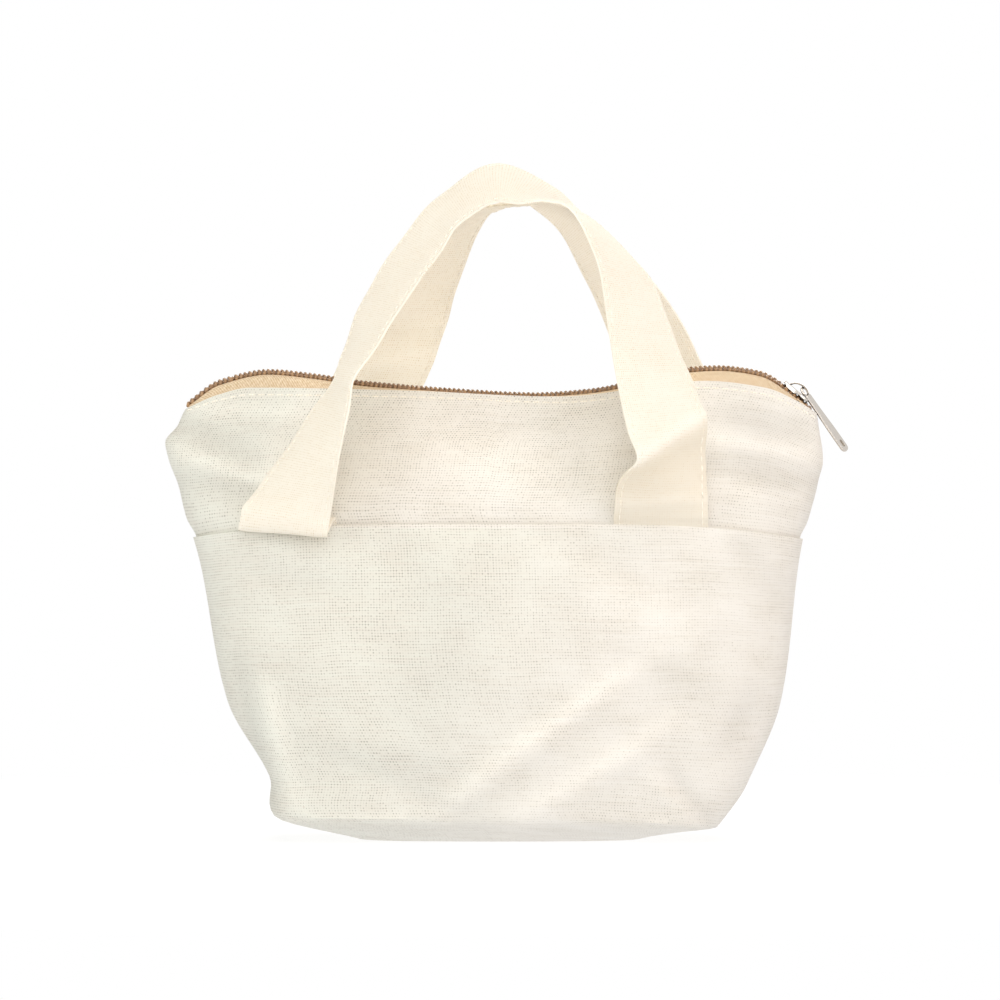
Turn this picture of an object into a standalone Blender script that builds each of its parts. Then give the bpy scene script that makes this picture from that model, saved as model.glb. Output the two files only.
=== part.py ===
# Cloth lunch tote with a zip top and two strap handles, modelled at rest with the zip closed.
# Metres, +Z up. The front faces -Y and the middle of the base is the origin.
import math

import bmesh
import bpy
import numpy as np

# Body: where the base, belly, seam, shoulder and mouth lie, and how wide and deep each is.
FLOOR_WIDTH = 0.104
FLOOR_DEPTH = 0.052
CREASE_HEIGHT = 0.0095
BASE_WIDTH = 0.163
BASE_DEPTH = 0.094
FOOT_HEIGHT = 0.024
FOOT_WIDTH = 0.175
FOOT_DEPTH = 0.097
BELLY_HEIGHT = 0.052
BELLY_WIDTH = 0.200
BELLY_DEPTH = 0.100
SEAM_HEIGHT = 0.1165
SEAM_WIDTH = 0.225
SEAM_DEPTH = 0.086
SEAM_DROOP = 0.0055
YOKE_HEIGHT = 0.0485
SHOULDER_DROP = 0.017
SHOULDER_WIDTH = 0.2435
SHOULDER_DEPTH = 0.044
SHOULDER_OVERHANG = 0.0046
MOUTH_GAP = 0.019
BELLY_LEAN = 0.005
MOUTH_LEAN = 0.00315
RIGHT_EAR_DROP = 0.0045

# Cloth and clearances.
CLOTH = 0.001
LINING = 0.0006
STRAP_WIDTH = 0.0344
STRAP_THICKNESS = 0.0016
TAIL_THICKNESS = 0.0014
LAP = 0.010
GAP = 0.0003

# Handle feet: middle of each strap foot from the bag's middle.
FRONT_LEFT_FOOT = -0.0744
FRONT_RIGHT_FOOT = 0.0609
BACK_LEFT_FOOT = -0.0657
BACK_RIGHT_FOOT = 0.0762
HANDLE_RISE = 0.125

# Zip.
ZIP_END_INSET = 0.001
ZIP_END_LENGTH = 0.0165
SLIDER_FROM_END = 0.0097
COIL_WIDTH = 0.0026
COIL_HEIGHT = 0.0022
CHAIN_GAP = 0.0005
TAPE = 0.0007
FLAP_AXIS_RISE = 0.00316
STOP_LENGTH = 0.0016
STOP_HEIGHT = 0.0009
SLIDER_LENGTH = 0.0118
SLIDER_WIDTH = 0.0082
SLIDER_PLATE = 0.0009
SLIDER_ROOM = 0.003
SLIDER_TILT = math.radians(41)
POST_WIDTH = 0.0014
BRIDGE_WIDTH = 0.0024
BRIDGE_RISE = 0.0042
BRIDGE_BAR = 0.0009
BRIDGE_REAR = -0.0024
BRIDGE_FRONT = 0.0052
PULL_LENGTH = 0.0238
PULL_WIDTH = 0.0054
PULL_THICKNESS = 0.0010
PULL_ARM = 0.0009
PULL_DROOP = math.radians(8)
PULL_ROLL = math.radians(34)
PULL_SLOT = 0.0034

# Counts for the facets.
HALF_COLUMNS = 24
RIBBON_STEPS = 52
ZIP_STEPS = 36

MOUTH_WIDTH = SHOULDER_WIDTH - 2 * SHOULDER_OVERHANG
MOUTH_LEFT = MOUTH_LEAN - MOUTH_WIDTH / 2
MOUTH_RIGHT = MOUTH_LEAN + MOUTH_WIDTH / 2
MOUTH_HEIGHT = SEAM_HEIGHT + YOKE_HEIGHT
SHOULDER_HEIGHT = MOUTH_HEIGHT - SHOULDER_DROP
LAP_INSET = CLOTH + GAP + TAIL_THICKNESS + GAP
SIDE_INSET = CLOTH + 2 * GAP
ZIP_LEFT_END = MOUTH_LEFT + ZIP_END_INSET
ZIP_PARTS_FROM = ZIP_LEFT_END + ZIP_END_LENGTH
SLIDER_AT = MOUTH_RIGHT - SLIDER_FROM_END
FRONT = -1
BACK = 1

# Height, half width, half depth, squareness of the outline and sideways lean, from the floor up.
LEVELS = (
    (0, FLOOR_WIDTH / 2, FLOOR_DEPTH / 2, 3, 0.4 * BELLY_LEAN),
    (CREASE_HEIGHT, BASE_WIDTH / 2, BASE_DEPTH / 2, 6, 0.1 * BELLY_LEAN),
    (FOOT_HEIGHT, FOOT_WIDTH / 2, FOOT_DEPTH / 2, 5.2, BELLY_LEAN),
    (BELLY_HEIGHT, BELLY_WIDTH / 2, BELLY_DEPTH / 2, 4.4, BELLY_LEAN),
    (SEAM_HEIGHT, SEAM_WIDTH / 2, SEAM_DEPTH / 2, 4, 0.3 * BELLY_LEAN),
    (SHOULDER_HEIGHT, SHOULDER_WIDTH / 2, SHOULDER_DEPTH / 2, 3, 0),
    (MOUTH_HEIGHT, MOUTH_WIDTH / 2, MOUTH_GAP / 2, 5, MOUTH_LEAN),
)

# The yokes' top edge and the zip's chain, as heights over the mouth along the bag.
EDGE_WAVE = (
    (MOUTH_LEFT, -0.0063),
    (MOUTH_LEFT + 0.012, -0.0012),
    (MOUTH_LEFT + 0.024, 0.0015),
    (-0.035, 0.0005),
    (0.024, -0.0018),
    (MOUTH_RIGHT - 0.0423, 0.0040),
    (MOUTH_RIGHT - 0.0203, 0.0015),
    (MOUTH_RIGHT - 0.0083, -0.0035),
    (MOUTH_RIGHT, -0.0085),
)
CHAIN_WAVE = (
    (ZIP_LEFT_END, -0.0035),
    (ZIP_LEFT_END + 0.015, 0.0055),
    (ZIP_LEFT_END + 0.033, 0.0086),
    (-0.035, 0.0034),
    (0.017, 0.0004),
    (SLIDER_AT - 0.0506, 0.0062),
    (SLIDER_AT - 0.0266, 0.0090),
    (SLIDER_AT - 0.0066, 0.0048),
    (SLIDER_AT, -0.0010),
    (SLIDER_AT + 0.0068, -0.0069),
)

# Strap stations: x, rise over the seam, turn about the strap's own length and tilt of its width,
# from the left foot over the arch to the right foot.
FRONT_STATIONS = (
    (FRONT_LEFT_FOOT, 0, 0, 0),
    (-0.0721, 0.0107, 36, -8),
    (-0.0657, 0.0255, 55, -10),
    (-0.0594, 0.0400, 67, -13),
    (-0.0540, 0.0529, 77, -14),
    (-0.0435, 0.0707, 82, -5),
    (-0.0326, 0.0925, 72, -10),
    (-0.0248, 0.1050, 68, -30),
    (-0.0163, 0.1165, 68, -54),
    (0.0004, HANDLE_RISE, 64, -87),
    (0.0192, 0.1232, 80, -150),
    (0.0277, 0.1188, 77, -196),
    (0.0355, 0.1125, 69, -205),
    (0.0477, 0.0921, 55, -192),
    (0.0544, 0.0666, 45, -182),
    (0.0588, 0.0503, 37, -176),
    (0.0633, 0.0355, 33, -176),
    (0.0640, 0.0222, 36, -180),
    (0.0614, 0.0107, 17, -180),
    (FRONT_RIGHT_FOOT, 0, 0, -180),
)
FRONT_LEAN = (
    (0, 0),
    (0.010, -0.0025),
    (0.025, -0.0020),
    (0.053, 0.0055),
    (0.070, 0.0135),
    (0.092, 0.0250),
    (0.105, 0.0310),
    (HANDLE_RISE, 0.0385),
)
BACK_STATIONS = (
    (BACK_LEFT_FOOT, 0, 0, 0),
    (-0.0585, 0.0230, 2, -3),
    (-0.0429, 0.0537, 4, -5),
    (-0.0353, 0.0718, 10, 0),
    (-0.0303, 0.0840, 28, 0),
    (-0.0239, 0.0970, 38, 2),
    (-0.0176, 0.1060, 48, 9),
    (-0.0098, 0.1128, 60, 14),
    (-0.0010, 0.1166, 70, 11),
    (0.0080, 0.1178, 78, 17),
    (0.0160, 0.1166, 84, 40),
    (0.0242, 0.1104, 85, 120),
    (0.0348, 0.0996, 73, 155),
    (0.0444, 0.0905, 56, 172),
    (0.0514, 0.0820, 44, 176),
    (0.0580, 0.0690, 33, 178),
    (0.0629, 0.0575, 25, 179),
    (0.0696, 0.0422, 10, 180),
    (BACK_RIGHT_FOOT, 0, 0, 180),
)
BACK_LEAN = (
    (0, 0),
    (0.023, -0.0005),
    (0.053, 0.0065),
    (0.072, 0.0125),
    (0.084, 0.0165),
    (0.097, 0.0215),
    (0.108, 0.0265),
    (0.118, 0.0335),
)


def smooth(table, at):
    """Runs through the table's points without swinging past any of them (monotone cubic)."""
    known = np.array(table, float)
    x, y = known[:, 0], known[:, 1:]
    step = np.diff(x)[:, None]
    slope = np.diff(y, axis=0) / step
    tangent = np.zeros_like(y)
    same = slope[1:] * slope[:-1] > 0
    total = np.where(same, slope[1:] + slope[:-1], 1)
    tangent[1:-1] = np.where(same, 2 * slope[1:] * slope[:-1] / total, 0)
    tangent[0], tangent[-1] = slope[0], slope[-1]
    at = np.clip(np.atleast_1d(at).astype(float), x[0], x[-1])
    k = np.clip(np.searchsorted(x, at, side="right") - 1, 0, len(x) - 2)
    s = ((at - x[k]) / (x[k + 1] - x[k]))[:, None]
    width = step[k]
    ends = y[k] * (2 * s**3 - 3 * s**2 + 1) + y[k + 1] * (3 * s**2 - 2 * s**3)
    return ends + width * (tangent[k] * (s**3 - 2 * s**2 + s) + tangent[k + 1] * (s**3 - s**2))


def through(points, steps):
    """A smooth curve (Catmull-Rom) through the points, read at even shares of their number."""
    p = np.array(points, float)
    p = np.vstack([2 * p[0] - p[1], p, 2 * p[-1] - p[-2]])
    at = np.linspace(0, len(p) - 3, steps + 1)
    k = np.minimum(at.astype(int), len(p) - 4)
    s = (at - k)[:, None]
    a, b, c, d = p[k], p[k + 1], p[k + 2], p[k + 3]
    return 0.5 * (2 * b + (c - a) * s + (2 * a - 5 * b + 4 * c - d) * s**2 + (3 * b - a - 3 * c + d) * s**3)


def edge_height(x):
    return MOUTH_HEIGHT + smooth(EDGE_WAVE, x)[:, 0]


def chain_height(x):
    return MOUTH_HEIGHT + smooth(CHAIN_WAVE, x)[:, 0]


def lifted(x, height):
    """Height of a cloth row at x: the drooping seam, the wavy mouth edge and the low right-hand base corner."""
    rise = np.clip((height - BELLY_HEIGHT) / (SEAM_HEIGHT - BELLY_HEIGHT), 0, 1)
    up = np.clip((height - SEAM_HEIGHT) / YOKE_HEIGHT, 0, 1)
    droop = -SEAM_DROOP * np.abs(x / (SEAM_WIDTH / 2)) ** 4
    near_crease = min(height / CREASE_HEIGHT, max(0, (BELLY_HEIGHT - height) / (BELLY_HEIGHT - CREASE_HEIGHT)))
    corner = np.clip((x - BASE_WIDTH / 8) / (BASE_WIDTH / 2.6), 0, 1) ** 2
    wave = smooth(EDGE_WAVE, x)[:, 0]
    return height + droop * rise * (1 - up) + wave * up - RIGHT_EAR_DROP * corner * near_crease


def half_outline(height, inset=0.0, side_inset=None):
    """Half of the bag's outline at a height, from the left side seam round to the right one, with y outwards."""
    side_inset = inset if side_inset is None else side_inset
    half_width, half_depth, square, lean = smooth(LEVELS, height)[0]
    angle = np.linspace(math.pi, 0, 600)
    c, s = np.cos(angle), np.clip(np.sin(angle), 0, 1)
    x = (half_width - side_inset) * np.sign(c) * np.abs(c) ** (2 / square) + lean
    y = (half_depth - inset) * s ** (2 / square)
    length = np.concatenate([[0], np.cumsum(np.hypot(np.diff(x), np.diff(y)))])
    share = np.linspace(0, 1, HALF_COLUMNS + 1)
    closer_at_seams = length[-1] * (0.4 * share + 0.3 * (1 - np.cos(math.pi * share)))
    x, y = np.interp(closer_at_seams, length, x), np.interp(closer_at_seams, length, y)
    return np.column_stack([x, y, lifted(x, height)])


def mouth_reach(x):
    """How far the mouth's edge stands from the bag's middle plane at x."""
    share = np.clip(np.abs((x - MOUTH_LEAN) / (MOUTH_WIDTH / 2)), 0, 1)
    return MOUTH_GAP / 2 * (1 - share**5) ** 0.2


def material(name, colour, roughness, metallic=0.0):
    made = bpy.data.materials.new(name)
    made.use_nodes = True
    shader = made.node_tree.nodes["Principled BSDF"]
    shader.inputs["Base Color"].default_value = (*colour, 1)
    shader.inputs["Roughness"].default_value = roughness
    shader.inputs["Metallic"].default_value = metallic
    return made


def add(name, points, faces, finish, origin=(0, 0, 0), parent=None):
    """Makes one node. Its mesh is given in its parent's space, and its origin is set to the given point."""
    mesh = bpy.data.meshes.new(name)
    mesh.from_pydata((np.array(points) - np.array(origin)).tolist(), [], faces)
    turner = bmesh.new()
    turner.from_mesh(mesh)
    bmesh.ops.recalc_face_normals(turner, faces=turner.faces)
    turner.to_mesh(mesh)
    turner.free()
    mesh.materials.append(finish)
    mesh.shade_smooth()
    mesh.set_sharp_from_angle(angle=math.radians(40))
    made = bpy.data.objects.new(name, mesh)
    made.location = origin
    made.parent = parent
    bpy.context.scene.collection.objects.link(made)
    return made


def sheet_solid(outer, inner, ring=False):
    """Points and faces of a solid between two grids of rows. A ring closes on itself and its first row is capped."""
    rows, columns = outer.shape[:2]
    points = np.concatenate([outer.reshape(-1, 3), inner.reshape(-1, 3)])
    base = rows * columns

    def at(side, r, c):
        return side * base + r * columns + c % columns

    faces = []
    across = columns if ring else columns - 1
    for r in range(rows - 1):
        for c in range(across):
            for side in (0, 1):
                faces.append([at(side, r, c), at(side, r, c + 1), at(side, r + 1, c + 1), at(side, r + 1, c)])
    for c in range(across):
        faces.append([at(0, rows - 1, c), at(0, rows - 1, c + 1), at(1, rows - 1, c + 1), at(1, rows - 1, c)])
        if not ring:
            faces.append([at(0, 0, c), at(0, 0, c + 1), at(1, 0, c + 1), at(1, 0, c)])
    if ring:
        faces.append([at(0, 0, c) for c in range(columns)])
        faces.append([at(1, 0, c) for c in range(columns)])
    else:
        for r in range(rows - 1):
            for c in (0, columns - 1):
                faces.append([at(0, r, c), at(0, r + 1, c), at(1, r + 1, c), at(1, r, c)])
    return points, faces


def loft_solid(sections):
    """Points and faces of a solid through closed sections with the same number of points."""
    count, around = len(sections), len(sections[0])
    faces = [list(range(around)), list(range((count - 1) * around, count * around))]
    for r in range(count - 1):
        for c in range(around):
            d = (c + 1) % around
            faces.append([r * around + c, r * around + d, (r + 1) * around + d, (r + 1) * around + c])
    return np.concatenate(sections), faces


def facing(half, side):
    """Turns a half outline to the front or back, clear of the other half along the seams."""
    return np.column_stack([half[:, 0], side * np.maximum(half[:, 1], GAP / 2), half[:, 2]])


def build_lower_body(finish):
    heights = (0, 0.27, 0.63, 1)
    rows = [share * CREASE_HEIGHT for share in heights]
    rows += [0.5 * (CREASE_HEIGHT + FOOT_HEIGHT), FOOT_HEIGHT]
    rows += list(np.linspace(FOOT_HEIGHT, SEAM_HEIGHT, 8)[1:])

    def ring(height, inset, raise_floor):
        half = half_outline(height, inset)
        half[:, 2] += raise_floor * max(0, 1 - height / CREASE_HEIGHT)
        return np.concatenate([half * (1, FRONT, 1), half[-2:0:-1]])

    outer = np.array([ring(h, 0, 0) for h in rows])
    inner = np.array([ring(h, CLOTH, CLOTH) for h in rows])
    add("lower_body", *sheet_solid(outer, inner, ring=True), finish)


def yoke_outline(height, inset=0.0):
    """The yoke tucks under the lap at the seam, less so at the sides, and comes out flush at the mouth."""
    left = 1 - np.clip((height - SEAM_HEIGHT) / YOKE_HEIGHT, 0, 1)
    return half_outline(height, LAP_INSET * left**1.5 + inset, SIDE_INSET * left**3 + inset)


def yoke_rows():
    return [SEAM_HEIGHT - LAP] + list(np.linspace(SEAM_HEIGHT, MOUTH_HEIGHT, 8))


def build_yoke(name, side, finish):
    outer = np.array([facing(yoke_outline(height), side) for height in yoke_rows()])
    inner = np.array([facing(yoke_outline(height, CLOTH), side) for height in yoke_rows()])
    add(name, *sheet_solid(outer, inner), finish)


def build_lining(name, side, finish):
    rows = [0, 0.5 * CREASE_HEIGHT, CREASE_HEIGHT, FOOT_HEIGHT, BELLY_HEIGHT]
    rows += [0.5 * (BELLY_HEIGHT + SEAM_HEIGHT)] + yoke_rows()

    def wall(extra):
        floor = CLOTH + GAP + extra
        grid = []
        for height in rows:
            half = yoke_outline(height, CLOTH + GAP + extra)
            half[:, 2] += floor * max(0, 1 - height / CREASE_HEIGHT)
            half[:, 2] -= 2 * GAP * np.clip((height - SEAM_HEIGHT) / YOKE_HEIGHT, 0, 1)
            grid.append(facing(half, side))
        middle = grid[0].copy()
        middle[:, 0] *= 0.97
        middle[:, 1] = side * GAP / 2
        return np.array([middle] + grid)

    add(name, *sheet_solid(wall(0), wall(LINING)), finish)


def build_foot(name, side, middle, finish):
    """The end of a strap, sewn into the lap between lower body and yoke. It follows their facets."""
    ends = (middle - STRAP_WIDTH / 2, middle + STRAP_WIDTH / 2)
    seam_x = half_outline(SEAM_HEIGHT)[:, 0]
    between = np.flatnonzero((seam_x > ends[0] + LAP / 4) & (seam_x < ends[1] - LAP / 4))

    def wall(inset):
        grid = []
        for height in (SEAM_HEIGHT - LAP, SEAM_HEIGHT):
            half = half_outline(height, inset, CLOTH + GAP)
            low, high = [[np.interp(x, half[:, 0], half[:, i]) for i in range(3)] for x in ends]
            grid.append(np.vstack([low, half[between], high]) * (1, side, 1))
        return np.array(grid)

    add(name, *sheet_solid(wall(CLOTH + GAP), wall(CLOTH + GAP + TAIL_THICKNESS)), finish)


def build_handle(name, side, stations, lean, finish):
    """A flat strap that turns on its way from foot to arch. It swings about its outer face at the seam."""
    path = through(stations, RIBBON_STEPS)
    hinge_y = side * (SEAM_DEPTH / 2 + GAP)
    foot_y = hinge_y - side * STRAP_THICKNESS / 2
    start = SEAM_HEIGHT + 2 * GAP
    centre = np.column_stack(
        [path[:, 0], foot_y - side * smooth(lean, path[:, 1])[:, 0], start + np.maximum(path[:, 1], 0)]
    )
    turn, tilt = np.radians(path[:, 2]), np.radians(path[:, 3])
    across = np.column_stack([np.cos(turn) * np.cos(tilt), side * np.sin(turn), np.cos(turn) * np.sin(tilt)])
    along = np.gradient(centre, axis=0)
    along[0], along[-1] = (0, 0, 1), (0, 0, -1)
    normal = np.cross(across, along)
    normal /= np.linalg.norm(normal, axis=1)[:, None]
    sections = []
    for c, w, n in zip(centre, across, normal):
        low = [c + w * STRAP_WIDTH * share - n * STRAP_THICKNESS / 2 for share in (-0.5, -0.17, 0.17, 0.5)]
        high = [c + w * STRAP_WIDTH * share + n * STRAP_THICKNESS / 2 for share in (0.5, 0.17, -0.17, -0.5)]
        sections.append(np.array(low + high))
    add(name, *loft_solid(sections), finish, origin=(0, hinge_y, SEAM_HEIGHT + GAP))


def slider_place():
    """The slider's middle, on the chain near the zip's right-hand end."""
    return np.array([SLIDER_AT, 0, float(chain_height(SLIDER_AT)[0])])


def build_zip_half(side, tape_finish, coil_finish):
    """One tape with its coil, from the closed left end into the slider. It swings about the mouth's edge."""
    word = "front" if side == FRONT else "back"
    hinge = (0, side * MOUTH_GAP / 2, MOUTH_HEIGHT + FLAP_AXIS_RISE)
    rear = slider_place()[0] - SLIDER_LENGTH / 2 * math.cos(SLIDER_TILT)
    inner = CHAIN_GAP / 2

    x = np.linspace(ZIP_PARTS_FROM, rear - 0.6 * SLIDER_ROOM, ZIP_STEPS + 1)
    seam = np.column_stack([x, side * (mouth_reach(x) - GAP), edge_height(x) + GAP + TAPE / 2])
    under = chain_height(x) - COIL_HEIGHT / 2 - GAP - TAPE / 2
    edge = np.column_stack([x, np.full_like(x, side * inner), under])
    rise = np.array([0, 0, TAPE / 2])
    sections = [np.array([s - rise, e - rise, e + rise, s + rise]) for s, e in zip(seam, edge)]
    add(f"zip_tape_{word}", *loft_solid(sections), tape_finish, origin=hinge)

    x = np.linspace(ZIP_PARTS_FROM, rear + 0.2 * SLIDER_LENGTH, ZIP_STEPS + 1)
    angle = np.linspace(0, 2 * math.pi, 8, endpoint=False) + math.pi / 8
    round_off = 1 / math.cos(math.pi / 8)
    sections = []
    for place, height in zip(x, chain_height(x)):
        y = side * (inner + COIL_WIDTH / 2) + COIL_WIDTH / 2 * round_off * np.cos(angle) * math.cos(math.pi / 8)
        z = height + COIL_HEIGHT / 2 * round_off * np.sin(angle) * math.cos(math.pi / 8)
        sections.append(np.column_stack([np.full(8, place), y, z]))
    add(f"zip_coil_{word}", *loft_solid(sections), coil_finish, origin=hinge)


def build_zip_ends(tape_finish, metal):
    """The closed left end with its bottom stop, and the two tape ends past the slider with their top stops."""
    x = np.linspace(ZIP_LEFT_END, ZIP_PARTS_FROM - GAP, 9)
    sections = []
    for place, reach, edge, chain in zip(x, mouth_reach(x), edge_height(x), chain_height(x)):
        half = CHAIN_GAP / 2 + COIL_WIDTH
        side_y = max(reach - GAP, half + TAPE)
        top = chain + COIL_HEIGHT / 2
        floor = edge + GAP
        lift = max(chain - COIL_HEIGHT / 2 - GAP - TAPE, floor)
        outline = ((-side_y, floor), (-half, lift), (half, lift), (side_y, floor), (side_y, floor + TAPE))
        outline += ((half, max(lift + TAPE, top)), (-half, max(lift + TAPE, top)), (-side_y, floor + TAPE))
        sections.append(np.array([(place, y, z) for y, z in outline]))
    add("zip_end_left", *loft_solid(sections), tape_finish)

    def block(name, x0, x1, y0, y1, base, height, finish):
        ends = []
        for place in (x0, x1):
            low = float(base(place))
            corners = ((y0, low), (y1, low), (y1, low + height), (y0, low + height))
            ends.append(np.array([(place, y, z) for y, z in corners]))
        add(name, *loft_solid(ends), finish)

    def chain_top(place):
        return chain_height(place)[0] + COIL_HEIGHT / 2 + GAP

    stop_from = ZIP_PARTS_FROM - GAP - 2 * STOP_LENGTH
    half = CHAIN_GAP / 2 + COIL_WIDTH
    block("zip_bottom_stop", stop_from, stop_from + STOP_LENGTH, -half, half, chain_top, STOP_HEIGHT, metal)

    middle = slider_place()
    tail_from = middle[0] + (SLIDER_LENGTH / 2 - STOP_LENGTH) * math.cos(SLIDER_TILT)
    tail_to = CHAIN_WAVE[-1][0]
    stop_at = middle[0] + (SLIDER_LENGTH / 2 + GAP) * math.cos(SLIDER_TILT) + GAP
    for side, word in ((FRONT, "front"), (BACK, "back")):
        near = side * (POST_WIDTH / 2 + GAP)
        far = side * (POST_WIDTH / 2 + GAP + COIL_WIDTH)

        def tail_base(place):
            return chain_height(place)[0] - COIL_HEIGHT / 2

        block(f"zip_tape_end_{word}", tail_from, tail_to, near, far, tail_base, TAPE, tape_finish)
        block(
            f"zip_top_stop_{word}",
            stop_at,
            stop_at + STOP_LENGTH * math.cos(SLIDER_TILT),
            near,
            far,
            lambda place: tail_base(place) + TAPE + GAP,
            STOP_HEIGHT,
            metal,
        )


def prism(outline, low, high):
    return loft_solid([np.array([(x, y, z) for x, y in outline]) for z in (low, high)])


def helper(name, points, faces, finish, parent):
    """A shape that is joined into another node and isn't one itself."""
    made = add(name, points, faces, finish, parent=parent)
    made.hide_render = True
    made.display_type = "WIRE"
    return made


def build_slider(metal):
    frame = bpy.data.objects.new("slider_frame", None)
    frame.location = slider_place()
    frame.rotation_euler = (0, SLIDER_TILT, 0)
    bpy.context.scene.collection.objects.link(frame)

    half, wide, narrow = SLIDER_LENGTH / 2, SLIDER_WIDTH / 2, 0.78 * SLIDER_WIDTH / 2
    chamfer = 0.2 * SLIDER_WIDTH
    side = ((-half, narrow - chamfer), (-half + chamfer, narrow), (half - chamfer, wide), (half, wide - chamfer))
    outline = list(side) + [(x, -y) for x, y in reversed(side)]
    room = SLIDER_ROOM / 2
    body = add("slider_body", *prism(outline, -room - SLIDER_PLATE, -room), metal, parent=frame)

    overlap = SLIDER_PLATE / 2
    top = helper("slider_top_plate", *prism(outline, room, room + SLIDER_PLATE), metal, frame)
    post_side = POST_WIDTH / 2
    post_from, post_to = 0.12 * SLIDER_LENGTH, 0.42 * SLIDER_LENGTH
    diamond = ((post_from, 0), (0.5 * (post_from + post_to), post_side), (post_to, post_side))
    diamond += ((post_to, -post_side), (0.5 * (post_from + post_to), -post_side))
    post = helper("slider_post", *prism(diamond, -room - overlap, room + overlap), metal, frame)

    sections = []
    for share in np.linspace(0, math.pi, 9):
        reach = 0.5 * (BRIDGE_FRONT - BRIDGE_REAR)
        centre = 0.5 * (BRIDGE_FRONT + BRIDGE_REAR)
        base = room + overlap
        ring = []
        for thick in (0, BRIDGE_BAR):
            x = centre - (reach - BRIDGE_BAR + thick) * math.cos(share)
            z = base + (BRIDGE_RISE - BRIDGE_BAR + thick) * math.sin(share) ** 0.8
            ring.append((x, z))
        (x0, z0), (x1, z1) = ring
        w = BRIDGE_WIDTH / 2
        sections.append(np.array([(x0, -w, z0), (x0, w, z0), (x1, w, z1), (x1, -w, z1)]))
    bridge = helper("slider_bridge", *loft_solid(sections), metal, frame)

    for other in (post, top, bridge):
        joined = body.modifiers.new(other.name, "BOOLEAN")
        joined.operation = "UNION"
        joined.solver = "EXACT"
        joined.object = other
    return frame


def build_pull(frame, metal):
    """A flat tab with an eye round the bridge's front leg and a slot near its tip, rolled a little past the eye."""
    bar = BRIDGE_BAR
    ahead = SLIDER_LENGTH / 2 - BRIDGE_FRONT + 2.4 * BRIDGE_BAR
    over_plate = GAP + ahead * math.tan(PULL_DROOP) + PULL_THICKNESS / 2
    pivot = (BRIDGE_FRONT - 2.4 * BRIDGE_BAR, 0, SLIDER_ROOM / 2 + SLIDER_PLATE + over_plate)
    eye_half = BRIDGE_WIDTH / 2 + 2 * GAP
    eye_to = BRIDGE_FRONT - BRIDGE_REAR - BRIDGE_BAR
    slot_half = 0.16 * PULL_WIDTH
    slot_to = PULL_LENGTH - 0.28 * PULL_WIDTH
    slot_from = slot_to - PULL_SLOT
    marks = (-bar / 2, bar / 2, eye_to, eye_to + PULL_ARM, slot_from, slot_to, PULL_LENGTH)
    stops = []
    for low, high in zip(marks, marks[1:]):
        stops += list(np.linspace(low, high, 5, endpoint=False))
    stops.append(marks[-1])

    def half_width(x):
        tip = PULL_WIDTH / 2
        eye = eye_half + PULL_ARM
        body = eye + (tip - eye) * np.clip((x - eye_to) / PULL_ARM, 0, 1)
        past = np.clip((x - (PULL_LENGTH - tip)) / tip, 0, 0.98)
        return body * math.sqrt(1 - past**2)

    def hole(low, high):
        if bar / 2 - 1e-9 <= low and high <= eye_to + 1e-9:
            return eye_half
        if slot_from - 1e-9 <= low and high <= slot_to + 1e-9:
            return slot_half
        return 0

    points, faces = [], []
    for x in stops:
        middle = eye_half if x <= eye_to + PULL_ARM else min(slot_half, 0.6 * half_width(x))
        roll = PULL_ROLL * np.clip((x - eye_to) / (4 * PULL_ARM), 0, 1)
        for z in (-PULL_THICKNESS / 2, PULL_THICKNESS / 2):
            for y in (-half_width(x), -middle, middle, half_width(x)):
                points.append((x, y * math.cos(roll) - z * math.sin(roll), y * math.sin(roll) + z * math.cos(roll)))

    def at(station, layer, column):
        return station * 8 + layer * 4 + column

    solid = {}
    for i in range(len(stops) - 1):
        for column in range(3):
            solid[i, column] = column != 1 or hole(stops[i], stops[i + 1]) == 0
    for (i, c), full in solid.items():
        if not full:
            continue
        for layer in (0, 1):
            faces.append([at(i, layer, c), at(i + 1, layer, c), at(i + 1, layer, c + 1), at(i, layer, c + 1)])
        for j, k in ((i - 1, i), (i + 1, i + 1)):
            if not solid.get((j, c), False):
                faces.append([at(k, 0, c), at(k, 0, c + 1), at(k, 1, c + 1), at(k, 1, c)])
        for d, k in ((c - 1, c), (c + 1, c + 1)):
            if not solid.get((i, d), False):
                faces.append([at(i, 0, k), at(i + 1, 0, k), at(i + 1, 1, k), at(i, 1, k)])
    tab = add("zip_pull_tab", points, faces, metal, parent=frame)
    tab.location = pivot
    tab.rotation_euler = (0, PULL_DROOP, 0)


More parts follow.
